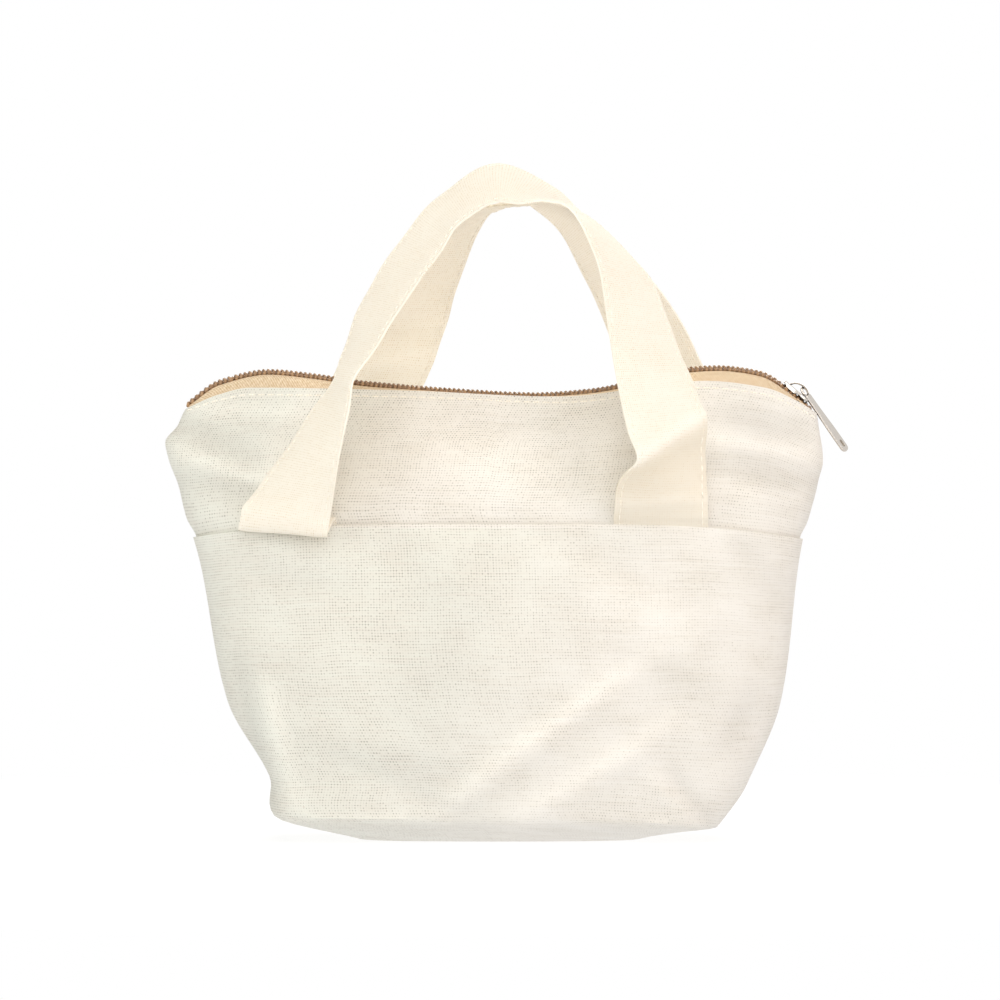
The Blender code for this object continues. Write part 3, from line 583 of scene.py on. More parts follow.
def halfOutline(height, inset, columns, sideInset=None):
    sideInset = inset if sideInset is None else sideInset
    halfWidth, halfDepth, square, lean = monotone(bag["levels"], height)[0]
    angle = np.linspace(math.pi, 0, 900)
    c, s = np.cos(angle), np.clip(np.sin(angle), 0, 1)
    x = (halfWidth - sideInset) * np.sign(c) * np.abs(c) ** (2 / square) + lean
    y = (halfDepth - inset) * s ** (2 / square)
    length = np.concatenate([[0], np.cumsum(np.hypot(np.diff(x), np.diff(y)))])
    share = np.linspace(0, 1, columns + 1)
    at = length[-1] * (0.6 * share + 0.2 * (1 - np.cos(math.pi * share)))
    x, y = np.interp(at, length, x), np.interp(at, length, y)
    return np.column_stack([x, y, liftedHeight(x, height)]), at


# folds: from x, z to x, z in mm as seen from that side, half width and rise in mm; those under 20 mm wide
# also set painted shade in their valleys and painted highlight on their backs
frontLowerFolds = (
    (-26, 8, 62, 72, 5.0, 3.0), (-2, 2, 70, 46, 5.0, 2.2), (-18, 14, 26, 106, 46.0, 5.0),
    (-94, 70, -80, 2, 4.0, -2.6), (-86, 62, -72, 6, 4.5, 2.2), (62, 30, 82, 3, 2.8, -1.4),
    (54, 28, 76, 4, 2.8, 1.4),
    (84, 30, 97, 60, 6.0, -1.6), (30, 94, 78, 74, 8.0, 1.4), (-100, 102, -52, 92, 6.0, -1.2),
    (-64, 30, -6, 24, 8.0, -1.0),
    (86, 112, 108, 88, 6.0, -1.3), (-40, 116, -18, 86, 8.0, -1.0), (40, 70, 84, 52, 7.0, -1.2),
    (-96, 9.4, 84, 7.6, 1.8, 1.2), (-14, 96, -22, 36, 15.0, -1.2),
)
backLowerFolds = (
    (-60, 14, 30, 70, 7.0, 1.4), (-30, 8, 62, 40, 6.0, 0.9), (20, 14, -20, 100, 46.0, 2.6),
    (-90, 62, -80, 18, 5.0, -1.4), (84, 30, 96, 64, 6.0, -1.3), (-74, 20, -84, 8, 3.0, -0.8),
    (60, 96, 96, 84, 7.0, -0.7),
)
frontYokeFolds = (
    (-122, 160, -70, 158, 4.5, 1.4), (-126, 156, -84, 140, 5.0, -2.9), (-124, 146, -76, 130, 5.0, 2.6),
    (-118, 134, -72, 122, 5.0, -2.4), (-100, 152, -62, 148, 4.0, -1.2), (-44, 124, -38, 158, 8.0, 0.6),
    (34, 120, 46, 154, 8.0, 1.4), (76, 158, 120, 150, 4.5, -2.6), (74, 150, 126, 140, 5.0, 2.4),
    (72, 142, 124, 130, 5.5, -3.0), (78, 134, 116, 122, 5.0, 2.2), (96, 128, 116, 118, 4.0, -1.6),
    (-34, 144, 30, 136, 14.0, 2.4), (-30, 154, 28, 152, 4.0, -0.8),
)
backYokeFolds = (
    (-110, 150, -80, 158, 4.0, 1.2), (-112, 138, -70, 150, 5.0, -1.6), (82, 144, 114, 136, 5.0, -1.5),
    (-30, 130, 10, 150, 9.0, 1.0), (30, 124, 44, 152, 8.0, -1.2), (84, 158, 110, 150, 4.0, 1.0),
)


def foldRise(x, z, folds):
    rise = np.zeros_like(x)
    for x0, z0, x1, z1, wide, tall in folds:
        a, b = np.array([x0, z0]) * mm, np.array([x1, z1]) * mm
        d = b - a
        share = np.clip(((x - a[0]) * d[0] + (z - a[1]) * d[1]) / (d @ d), 0, 1)
        away = np.hypot(x - a[0] - share * d[0], z - a[1] - share * d[1])
        rise += tall * mm * np.exp(-(away / (wide * mm)) ** 2) * np.sqrt(np.sin(math.pi * share).clip(0))
    return rise


fullShadingRise = 3 * mm     # a fold this tall gets the full painted shade in its valley and the full painted highlight on its back


def paintedFoldShading(x, z, folds):
    # painted shade -1 down in a sharp fold, painted highlight 1 on the back of one; broad swells don't count
    sharp = [fold for fold in folds if fold[4] < 20]
    return np.clip(foldRise(x, z, sharp) / fullShadingRise, -1, 1)


def slack(x, z, seed):
    # the cloth's small unevenness between the folds
    total = np.zeros_like(x)
    maker = np.random.default_rng(seed)
    for wave in (46, 31, 22, 15):
        for _ in range(2):
            turn, phase = maker.uniform(0, math.pi), maker.uniform(0, 2 * math.pi)
            along = x * math.cos(turn) + z * math.sin(turn)
            total += 0.0055 * wave * mm * np.sin(2 * math.pi * along / (wave * mm) + phase)
    return total


def outward(grid):
    # unit normals of a grid of points, turned away from the bag's middle
    du = np.gradient(grid, axis=1)
    dv = np.gradient(grid, axis=0)
    n = np.cross(du, dv)
    n /= np.maximum(np.linalg.norm(n, axis=2), 1e-9)[:, :, None]
    middle = np.array([0, 0, 0.08])
    turned = np.sign(np.sum(n * (grid - middle), axis=2))
    return n * np.where(turned == 0, 1, turned)[:, :, None]


lower = {
    "columns": 110,
    "floorShares": (0.06, 0.35, 0.7),
}


def lowerHeights():
    crease, seam = bag["crease"], bag["seam"]
    rows = list(np.linspace(0, crease, 7)) + list(np.linspace(crease, seam - 0.0012, 52)[1:])
    return rows + [seam - 0.0007, seam - 0.0003, seam]


def lowerGrid(inset):
    # outer rows of the tub, floor centre first, all the way round
    columns = lower["columns"]
    grid, uv, tone = [], [], []
    heights = lowerHeights()
    climb = 0.0
    last = None
    for height in heights:
        half, at = halfOutline(height, inset, columns)
        shrink = 0.0
        if height > bag["seam"] - 0.0008:
            shrink = {0: 0.0, 1: 0.25 * mm,
                      2: 0.55 * mm}[min(2, int(round((height - bag["seam"] + 0.0007) / 0.00035)))]
        sides, tones = [], []
        for side, folds, seed in ((front, frontLowerFolds, 3), (back, backLowerFolds, 8)):
            p = half * (1, side, 1)
            x, z = half[:, 0], half[:, 2]
            calm = np.clip((height - 0.001) / 0.012, 0, 1) * np.clip((bag["seam"] - height) / 0.010 + 0.25,
                                                                     0, 1)
            rise = (foldRise(x, z, folds) + slack(x, z, seed)) * calm
            seamward = np.clip(half[:, 1] / 0.012, 0, 1)
            p[:, 1] += side * (rise * seamward - shrink)
            sides.append(p)
            tones.append(paintedFoldShading(x, z, folds) * seamward)
        ring = np.concatenate([sides[0], sides[1][-2:0:-1]])
        tone.append(np.concatenate([tones[0], tones[1][-2:0:-1]]))
        length = np.concatenate([at, at[-1] + (at[-1] - at[-2:0:-1]), [2 * at[-1]]])
        if last is not None:
            climb += float(np.linalg.norm(ring[columns // 2] - last[columns // 2]))
        last = ring
        grid.append(ring)
        uv.append(np.column_stack([length, np.full(len(length), climb)]))
    floor = grid[0]
    middle = floor.mean(axis=0)
    for share in reversed(lower["floorShares"]):
        grid.insert(0, middle + (floor - middle) * (share, share, 1))
        uv.insert(0, uv[0] - (0, 0.012))
        tone.insert(0, tone[0] * share)
    return np.array(grid), np.array(uv), np.array(tone)


def addLowerBody():
    outer, uv, tone = lowerGrid(0)
    normal = outward(outer)
    inner = outer - normal * bag["cloth"]
    inner[-6:, :, :2] = outer[-6:, :, :2] * (1 - 1.2 * mm / 0.06)    # double cloth in the hem
    flat = outer[:4, :, 2] < 0.0006
    inner[:4][flat] = outer[:4][flat] + (0, 0, bag["cloth"])
    points, faces, uvs = clothShell(outer, inner, uv, ring=True, cap=True)
    piece = addPiece("lowerBodyCloth", points, faces, canvas, uvs, crease=[tone, tone])
    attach(piece, "bag")
    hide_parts("lower_body")


yoke = {"columns": 120, "lapInset": 2.2 * mm, "sideInset": 1.2 * mm, "tuck": 0.009}


def yokeOutline(height, inset, columns):
    left = 1 - np.clip((height - bag["seam"]) / (bag["mouth"] - bag["seam"]), 0, 1)
    return halfOutline(height, yoke["lapInset"] * left**1.5 + inset, columns,
                       yoke["sideInset"] * left**3 + inset)


def yokeGrid(side, inset, folds, seed):
    heights = [bag["seam"] - yoke["tuck"]] + list(np.linspace(bag["seam"] - 0.002, bag["mouth"], 44))
    grid, uv, tone, climb, last = [], [], [], 0.0, None
    for height in heights:
        half, at = yokeOutline(height, inset, yoke["columns"])
        x, z = half[:, 0], half[:, 2]
        calm = np.clip((height - bag["seam"]) / 0.006, 0, 1) * np.clip((bag["mouth"] - height) / 0.006 + 0.1,
                                                                       0, 1)
        rise = (foldRise(x, z, folds) + slack(x, z, seed)) * calm
        half[:, 1] += rise * np.clip(half[:, 1] / 0.010, 0, 1)
        p = np.column_stack([half[:, 0], side * np.maximum(half[:, 1], 0.05 * mm), half[:, 2]])
        if last is not None:
            climb += float(np.linalg.norm(p[60] - last[60]))
        last = p
        grid.append(p)
        uv.append(np.column_stack([at, np.full(len(at), climb)]))
        tone.append(paintedFoldShading(x, z, folds) * calm)
    return np.array(grid), np.array(uv), np.array(tone)


def addYoke(name, side, replaced, folds, seed):
    outer, uv, tone = yokeGrid(side, 0, folds, seed)
    inner = outer - outward(outer) * bag["cloth"]
    inner[:, :, 1] = side * np.maximum(side * inner[:, :, 1], 0.05 * mm)
    points, faces, uvs = clothShell(outer, inner, uv)
    piece = addPiece(name, points, faces, canvas, uvs, crease=[tone, tone])
    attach(piece, "bag")
    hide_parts(replaced)
    # topstitching that holds the zip, 1.7 mm under the folded edge
    row = len(outer) - 3
    line = outer[row, 4:-4]
    stitches = stitchLine(name + "ZipStitch", line, outward(outer)[row, 4:-4])
    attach(stitches, "bag")


def addLining(name, side, replaced):
    heights = [0, 0.004, 0.0095, 0.024, 0.045, 0.07, 0.095, 0.108] + list(np.linspace(0.1165, 0.1645, 10))
    walls = []
    for extra in (0, 0.6 * mm):
        grid, uv = [], []
        for height in heights:
            up = np.clip((height - bag["seam"]) / (bag["mouth"] - bag["seam"]), 0, 1)
            half, at = yokeOutline(height, (1.7 + 3.0 * (1 - up**3)) * mm + extra, 60)
            half[:, 2] += (1.4 * mm + extra) * max(0, 1 - height / bag["crease"])
            half[:, 2] -= 0.6 * mm * np.clip((height - bag["seam"]) / 0.0485, 0, 1)
            grid.append(np.column_stack([half[:, 0], side * np.maximum(half[:, 1], 0.1 * mm), half[:, 2]]))
            uv.append(np.column_stack([at, np.full(len(at), height)]))
        middle = grid[0].copy()
        middle[:, 0] *= 0.97
        middle[:, 1] = side * 0.1 * mm
        walls.append(np.array([middle] + grid))
        uv = np.array([uv[0] - (0, 0.03)] + uv)
    points, faces, uvs = clothShell(walls[0], walls[1], uv)
    piece = addPiece(name, points, faces, liningCotton, uvs)
    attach(piece, "bag")
    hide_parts(replaced)


addLowerBody()
addYoke("frontYokeCloth", front, "front_yoke", frontYokeFolds, 5)
addYoke("backYokeCloth", back, "back_yoke", backYokeFolds, 6)
addLining("frontLiningCloth", front, "front_lining")
addLining("backLiningCloth", back, "back_lining")
print("body cloth made")


# strap handles

strap = {
    "width": 34.4 * mm, "thick": 1.3 * mm, "edgeStitch": 2.0 * mm, "across": 18, "steps": 260,
    "tuck": 8 * mm, "tuckFade": 3 * mm,     # how far each end is held flat in the lap
    "archOut": 0.0425, "archFrom": 0.1171,  # where the stations count from
    "lapDepth": 1.7 * mm,                   # from the lower body's face in to the middle of the lap
}
frontStations = (
    # x, rise over the seam, turn about the strap's length, tilt of its width
    (-0.0721, 0.0107, 36, -8), (-0.0657, 0.0255, 55, -10), (-0.0594, 0.0400, 67, -13),
    (-0.0540, 0.0529, 77, -14),
    (-0.0483, 0.0653, 70, -12), (-0.0422, 0.0779, 65, -12), (-0.0344, 0.0908, 63, -16),
    (-0.0255, 0.1035, 64, -32),
    (-0.0163, 0.1150, 67, -54),
    (0.0004, 0.125, 64, -87), (0.0160, 0.1205, 68, -145), (0.0255, 0.1166, 70, -190),
    (0.0345, 0.1112, 68, -205),
    (0.0477, 0.0921, 55, -192), (0.0544, 0.0666, 45, -182), (0.0588, 0.0503, 37, -176),
    (0.0630, 0.0345, 32, -176),
    (0.0641, 0.0237, 41, -180), (0.0612, 0.0124, 19, -180),
)
frontLean = ((0, 0), (0.010, -0.0025), (0.022, -0.0048), (0.034, -0.0042), (0.053, 0.0045), (0.070, 0.0135),
             (0.092, 0.0250),
             (0.105, 0.0310), (0.125, 0.0385))
backStations = (
    (-0.0585, 0.0230, 2, -3), (-0.0429, 0.0537, 4, -5), (-0.0353, 0.0718, 10, 0), (-0.0303, 0.0840, 28, 0),
    (-0.0239, 0.0970, 38, 2), (-0.0176, 0.1060, 48, 9), (-0.0098, 0.1128, 60, 14), (-0.0010, 0.1166, 70, 11),
    (0.0080, 0.1185, 82, 60), (0.0165, 0.1182, 80, 185), (0.0262, 0.1130, 76, 222), (0.0352, 0.1030, 68, 215),
    (0.0444, 0.0915, 56, 195), (0.0514, 0.0820, 44, 186), (0.0580, 0.0690, 33, 180),
    (0.0629, 0.0575, 25, 179),
    (0.0696, 0.0422, 10, 180),
)
backLean = ((0, 0), (0.023, -0.0005), (0.053, 0.0065), (0.072, 0.0125), (0.084, 0.0165), (0.097, 0.0215),
            (0.108, 0.0265), (0.118, 0.0335))


def strapStations(side, stations, lean, leftFoot, rightFoot):
    # full stations as x, y, z, turn, tilt: the feet in the lap, then the shared stations between them
    rows = np.array(stations, float)
    y = side * (strap["archOut"] - monotone(lean, rows[:, 1])[:, 0])
    arch = np.column_stack([rows[:, 0], y, strap["archFrom"] + rows[:, 1], rows[:, 2], rows[:, 3]])
    return np.vstack([leftFoot, arch, rightFoot])


def lapFace(x):
    # how far out the lower body's face lies just under the seam
    half, _ = halfOutline(bag["seam"] - 3 * mm, 0, 400)
    return np.interp(x, half[20:-20, 0], half[20:-20, 1])


def easeIn(value):
    value = np.clip(value, 0, 1)
    return value * value * (3 - 2 * value)


def addStrap(name, side, nodes, stations, creases):
    path = curveThrough(stations, strap["steps"])
    centre = path[:, :3]
    turn, tilt = np.radians(path[:, 3]), np.radians(path[:, 4])
    across = np.column_stack([np.cos(turn) * np.cos(tilt), side * np.sin(turn), np.cos(turn) * np.sin(tilt)])
    share = np.linspace(-0.5, 0.5, strap["across"] + 1)
    run = np.concatenate([[0], np.cumsum(np.linalg.norm(np.diff(centre, axis=0), axis=1))])
    middle = centre[:, None, :] + across[:, None, :] * (share * strap["width"])[None, :, None]

    # soft ripples and the folds pressed into the cloth, which also carry painted shade and highlight
    normal = np.cross(np.gradient(middle, axis=1), np.gradient(middle, axis=0))
    normal /= np.linalg.norm(normal, axis=2)[:, :, None]
    rise = 0.22 * mm * np.sin(run / (23 * mm) * 2 * math.pi)[:, None] * np.sin(share * 5 + 1.0)[None, :]
    leg = np.sign(np.arange(len(run)) - np.argmax(centre[:, 2]))
    tone = np.zeros_like(rise)
    for which, fromHeight, toHeight, wide, tall, under in creases:
        line = (fromHeight + (toHeight - fromHeight) * (share + 0.5)) * mm
        away = (middle[:, :, 2] - line[None, :]) / (wide * mm)
        press = tall * mm * np.exp(-away**2) * (leg == which)[:, None]
        rise = rise + press
        # painted shade in each fold's valley, painted highlight on its back, and painted shade below the fold
        # where its last column asks for it
        tone += press / fullShadingRise - under * easeIn(0.5 - 0.5 * away) * (leg == which)[:, None]
    middle = middle + normal * rise[:, :, None]

    # the sewn ends lie flat in the lap and follow its curve
    inEnd = np.minimum(run, run[-1] - run)
    held = 1 - easeIn((inEnd - strap["tuck"]) / strap["tuckFade"])
    lap = side * (lapFace(middle[:, :, 0]) - strap["lapDepth"])
    middle[:, :, 1] += (lap - middle[:, :, 1]) * held[:, None]

    normal = np.cross(np.gradient(middle, axis=1), np.gradient(middle, axis=0))
    normal /= np.linalg.norm(normal, axis=2)[:, :, None]
    fromEdge = (0.5 - np.abs(share)) * strap["width"]
    edge = np.minimum(fromEdge / (1.2 * mm), 1)                 # thin out to a soft edge
    dent = np.exp(-((fromEdge - strap["edgeStitch"]) / (0.8 * mm)) ** 2)
    half = strap["thick"] / 2 * (0.55 + 0.45 * edge - 0.30 * dent)
    top = middle + normal * half[None, :, None]
    low = middle - normal * half[None, :, None]
    uv = np.stack(np.broadcast_arrays(share[None, :] * strap["width"], run[:, None]), axis=2)
    points, faces, uvs = clothShell(top, low, uv)
    piece = addPiece(name, points, faces, strapCotton, uvs, crease=[tone, tone])
    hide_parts(*nodes)
    print(name, "length", round(float(run[-1]), 4))
    pieces = [piece]
    for mark, at in (("Left", -0.5 * strap["width"] + strap["edgeStitch"]),
                     ("Right", 0.5 * strap["width"] - strap["edgeStitch"])):
        k = int(np.argmin(np.abs(share * strap["width"] - at)))
        offset = across * (at - share[k] * strap["width"])
        for face, grid, sign in (("Out", top, 1), ("In", low, -1)):
            pieces.append(stitchLine(name + mark + face + "Stitch", grid[:, k] + offset, normal[:, k] * sign,
                                     thick=0.2 * mm))
    for one in pieces:
        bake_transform(one)


frontLeftFoot = (
    # sewn into the lap, rolled out over the seam, folded back up: x, y, z, turn, tilt
    (-0.0744, -0.0383, 0.1085, 4, 0), (-0.0744, -0.0383, 0.1150, 4, 0), (-0.0745, -0.0393, 0.1177, 4, 0),
    (-0.0749, -0.0412, 0.1188, 9, -1), (-0.0758, -0.0426, 0.1170, 14, -2.5),
    (-0.0766, -0.0433, 0.1146, 18, -4),
    (-0.0768, -0.0445, 0.1134, 19, -4.6), (-0.0766, -0.0458, 0.1148, 19.5, -5.5),
    (-0.0760, -0.0462, 0.1176, 20, -7),
    (-0.0755, -0.0460, 0.1204, 21, -8.5),
)
frontRightFoot = (
    (0.0608, -0.0418, 0.1190, 3, -180), (0.0609, -0.0402, 0.1150, -4, -180),
    (0.0609, -0.0402, 0.1085, -4, -180),
)
backLeftFoot = (
    (-0.0657, 0.0390, 0.1085, 4, 0), (-0.0657, 0.0390, 0.1150, 4, 0), (-0.0650, 0.0415, 0.1215, 2, 0),
)
backRightFoot = (
    (0.0758, 0.0415, 0.1215, 0, 180), (0.0762, 0.0385, 0.1150, -4, 180), (0.0762, 0.0385, 0.1085, -4, 180),
)
# creases: leg (-1 left, 1 right), height at the strap's two edges, half width, rise, in mm; then how much
# painted shade falls below it
frontCreases = (
    (1, 156.0, 139.5, 2.6, 1.6, 0.75), (1, 147.0, 130.0, 4.5, -1.1, 0), (1, 126.0, 123.5, 2.2, 0.8, 0),
    (-1, 176.0, 168.0, 4.0, 0.5, 0),
)
backCreases = ((-1, 172.0, 178.0, 3.5, 0.7, 0), (-1, 190.0, 184.0, 4.0, -0.6, 0),
               (1, 168.0, 176.0, 4.0, 0.6, 0))

addStrap("frontStrapCloth", front, ("front_handle", "front_handle_left_foot", "front_handle_right_foot"),
         strapStations(front, frontStations, frontLean, frontLeftFoot, frontRightFoot),
         frontCreases)
addStrap("backStrapCloth", back, ("back_handle", "back_handle_left_foot", "back_handle_right_foot"),
         strapStations(back, backStations, backLean, backLeftFoot, backRightFoot), backCreases)
print("straps made")


# the zip

zipSpec = {
    "pitch": 1.72 * mm, "coilWide": 2.4 * mm, "coilHigh": 1.3 * mm, "wire": 0.38 * mm, "gap": 0.5 * mm,
    "backRise": 0.55 * mm, "cord": 0.55 * mm,
    "tape": 0.7 * mm, "partsFrom": -0.0965, "stretches": (-0.0965, -0.066, 0.078),
    "leftEnd": -0.1132, "leftCoil": -0.1128, "rightEnd": 0.1172, "topStopAt": 0.1158,
    "tapeTo": 0.1120, "coilTo": 0.1085,
    "shutLeft": -0.087, "shutRight": 0.1085,  # past these the halves stay together when the zip is open
    "sewnAt": 8.8 * mm, "freeAt": 0.5 * mm,  # across: the edge sewn to the yoke and the edge that parts
}


def mouthReach(x):
    _, halfWidth, halfDepth, square, lean = bag["levels"][-1]
    share = np.clip(np.abs((x - lean) / halfWidth), 0, 1)
    return halfDepth * (1 - share**square) ** (1 / square)


def tapeGrid(x, shares):
    # rows from the front yoke's edge (-1) over the middle to the back yoke's edge (1), flat under the coil
    under = chainHeight(x) - zipSpec["coilHigh"] / 2 - zipSpec["tape"] / 2
    edge = np.minimum(edgeHeight(x) - 0.6 * mm, under)
    reach = np.maximum(mouthReach(x) - 1.3 * mm, 2.2 * mm)
    rows = []
    for share in shares:
        climb = easeIn((1 - abs(share)) / 0.6)
        z = edge * (1 - climb) + under * climb + 0.5 * mm * math.sin(math.pi * climb)
        rows.append(np.column_stack([x, share * reach, z]))
    return np.array(rows)


def addTape(name, x, shares):
    grid = tapeGrid(x, shares)
    rise = np.array([0, 0, zipSpec["tape"] / 2])
    wide = np.linspace(0, 9 * mm * (shares[-1] - shares[0]), len(shares))
    uv = np.stack(np.broadcast_arrays(x[None, :], wide[:, None]), axis=2)
    points, faces, uvs = clothShell(grid + rise, grid - rise, uv)
    return addPiece(name, points, faces, tapeTwill, uvs)


def tapeStretch(name, side, x0, x1):
    x = np.linspace(x0, x1, max(8, int((x1 - x0) / (2.2 * mm))))
    return addTape(name, x, sorted(side * np.linspace(0.03, 1, 9)))


def toothLoop(x, z, side, slope):
    # one turn of the coil: up from the tape, over and down to the other row
    w, h = zipSpec["coilWide"], zipSpec["coilHigh"]
    outline = ((-1.00, -0.42), (-1.02, 0.12), (-0.80, 0.40), (-0.40, 0.46), (0.02, 0.36), (0.16, 0.05),
               (0.10, -0.25))
    lean = 0.55 * zipSpec["pitch"]
    if side == back:
        z = z + zipSpec["backRise"]
    path = []
    for k, (across, up) in enumerate(outline):
        shift = lean * (k / (len(outline) - 1) - 0.5)
        path.append((x + shift, side * (-across * w + zipSpec["gap"] / 2), z + up * h + slope * shift))
    return tubeAlong(path, zipSpec["wire"] * (1.3 if side == back else 1.45), 6)


def fillerCord(side, x0, x1):
    x = np.linspace(x0, x1, max(6, int((x1 - x0) / (2 * mm))))
    y = np.full(len(x), side * (zipSpec["gap"] / 2 + 0.5 * zipSpec["coilWide"]))
    return tubeAlong(np.column_stack([x, y, chainHeight(x) - 0.1 * mm]), zipSpec["cord"], 8)


def toothStretch(name, side, x0, x1):
    pitch = zipSpec["pitch"]
    first = zipSpec["partsFrom"] + (0.5 * pitch if side == back else 0)
    places = np.arange(first, x1, pitch)
    places = places[(places >= x0) & (places < x1)]
    heights = chainHeight(places)
    slopes = (chainHeight(places + 0.5 * mm) - chainHeight(places - 0.5 * mm)) / mm
    loops = [toothLoop(x, z, side, s) for x, z, s in zip(places, heights, slopes)]
    return addPiece(name, *gather(loops + [fillerCord(side, x0, x1)]), coilPlastic)


def partingLine(side, part):
    # how far a point goes with the open half: 0 at the sewn edge and where the zip is shut,
    # 1 at the free edge
    high = float(chainHeight(0.0)[0])
    across = zipSpec["sewnAt"] - zipSpec["freeAt"]
    if part == "Middle":
        return (0, side * zipSpec["sewnAt"], high), (0, side * zipSpec["freeAt"], high)
    shut, openFrom = (zipSpec["shutLeft"], zipSpec["stretches"][1]) if part == "Left" else (
        zipSpec["shutRight"], zipSpec["stretches"][2])
    steep = np.array([1 / (openFrom - shut), -side / across, 0])
    start = np.array([shut, side * zipSpec["freeAt"], high])
    return tuple(start), tuple(start + steep / (steep @ steep))


def addZipHalf(side, word):
    ends = zipSpec["stretches"] + (zipSpec["tapeTo"],)
    coilEnds = zipSpec["stretches"] + (zipSpec["coilTo"],)
    tapes, coils = [], []
    for k, part in enumerate(("Left", "Middle", "Right")):
        tape = tapeStretch(word + "Tape" + part, side, ends[k], ends[k + 1])
        coil = toothStretch(word + "Coil" + part, side, coilEnds[k], coilEnds[k + 1])
        line = partingLine(side, part)
        for piece in (tape, coil):
            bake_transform(piece)
        tapes.append(tape)
        coils.append(coil)
    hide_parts("zip_tape_" + word)
    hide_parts("zip_coil_" + word)


def addLeftEnd():
    # the closed end: both tapes with the chain on top, tucked between the yokes
    tape = addTape("leftEndTape", np.linspace(zipSpec["leftEnd"], zipSpec["partsFrom"], 14),
                   list(np.linspace(-1, 1, 17)))
    parts = []
    for side in (front, back):
        places = np.arange(zipSpec["leftCoil"] + (0.5 * zipSpec["pitch"] if side == back else 0),
                           zipSpec["partsFrom"] - 0.2 * mm,
                           zipSpec["pitch"])
        slopes = (chainHeight(places + 0.5 * mm) - chainHeight(places - 0.5 * mm)) / mm
        parts += [toothLoop(px, pz, side, s) for px, pz, s in zip(places, chainHeight(places), slopes)]
        parts.append(fillerCord(side, zipSpec["leftCoil"], zipSpec["partsFrom"]))
    chain = addPiece("leftEndChain", *gather(parts), coilPlastic)
    for piece, slot in ((tape, "tape"), (chain, "coil")):
        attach(piece, "bag")
    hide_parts("zip_end_left")


def addRightEnds():
    # the tape and coil ends inside and past the slider, one each side of its post
    for side, word in ((front, "front"), (back, "back")):
        x = np.linspace(zipSpec["tapeTo"], zipSpec["rightEnd"], 8)
        z = chainHeight(x) - 0.7 * mm
        inner, outer = 1.0 * mm, np.maximum(mouthReach(x) - 0.6 * mm, 3.6 * mm)
        rows = [np.column_stack([x, side * (inner + (outer - inner) * share), z])
                for share in np.linspace(0, 1, 5)]
        grid = np.array(rows)
        uv = np.stack(np.broadcast_arrays(x[None, :], np.linspace(0, 5 * mm, 5)[:, None]), axis=2)
        rise = np.array([0, 0, 0.35 * mm])
        points, faces, uvs = clothShell(grid + rise, grid - rise, uv)
        tape = addPiece(word + "TapeEnd", points, faces, tapeTwill, uvs)
        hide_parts("zip_tape_end_" + word)
        places = np.arange(zipSpec["coilTo"], zipSpec["rightEnd"], 0.8 * zipSpec["pitch"])
        loops = [toothLoop(px, float(chainHeight(px)[0]) - 0.2 * mm, side, -0.87) for px in places]
        coil = addPiece(word + "CoilEnd",
                        *gather(loops + [fillerCord(side, zipSpec["coilTo"], zipSpec["rightEnd"])]),
                        coilPlastic)
        # a staple closed round the underside of the tape
        high = float(chainHeight(zipSpec["topStopAt"])[0])
        path = [(zipSpec["topStopAt"], side * y * mm, high + up * mm)
                for y, up in ((1.2, -1.0), (1.2, -1.9), (3.4, -1.9), (3.4, -1.0))]
        stop = addPiece(word + "TopStop", *tubeAlong(path, 0.35 * mm, 8), nickel)
        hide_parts("zip_top_stop_" + word)
        for piece in (tape, coil, stop):
            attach(piece, "bag")


addZipHalf(front, "front")
addZipHalf(back, "back")
addLeftEnd()
addRightEnds()
print("zip made")


# slider, pull and bottom stop

def roundedBar(start, end, half, roundStart, roundEnd):
    # outline of a flat bar in mm: half is its half width as a table along it
    along = start + (end - start) * (0.5 - 0.5 * np.cos(np.linspace(0, math.pi, 40)))
    wide = monotone(half, along)[:, 0]
    wide = wide * np.sqrt(1 - np.clip((along - end + roundEnd) / roundEnd, 0, 1) ** 2.2)
    wide = wide * np.sqrt(1 - np.clip((start + roundStart - along) / roundStart, 0, 1) ** 2.2)
    return np.concatenate([np.column_stack([along, wide]), np.column_stack([along, -wide])[-2:0:-1]])


def drawnIn(edge, by):
    return np.column_stack([np.clip(edge[:, 0], edge[:, 0].min() + by, edge[:, 0].max() - by),
                            np.sign(edge[:, 1]) * np.maximum(np.abs(edge[:, 1]) - by, 0)])


def joinRings(rings, closed):
    # rings of equal count, one after another, as one body: closed into a loop or capped at both ends
    count = len(rings[0])
    faces = []
    for r in range(len(rings) if closed else len(rings) - 1):
        following = (r + 1) % len(rings)
        for c in range(count):
            n = (c + 1) % count
            faces.append([r * count + c, r * count + n, following * count + n, following * count + c])
    if not closed:
        faces.append(list(range(count)))
        faces.append(list(range((len(rings) - 1) * count, len(rings) * count)))
    return [p for ring in rings for p in ring], faces


slider = {
    "middle": (0.1106, 0, 0.1640), "tilt": 41,      # degrees: it lies along the falling end of the chain
    "half": ((-5.9, 2.7), (-0.5, 2.9), (2.6, 4.1), (5.9, 4.1)),      # mm: narrow tail at the left, wide head
    "room": 1.2, "plate": 0.9, "bevel": 0.3, "flange": 0.7, "flangeEnds": (-4.6, 0.6),
    "crown": ((4.6, 1.8), (4.5, 3.2), (3.5, 4.3), (1.7, 4.9), (-0.5, 4.7), (-2.3, 3.8), (-3.1, 2.6)),
    "crownHalf": 1.1, "crownThin": 0.42,
}


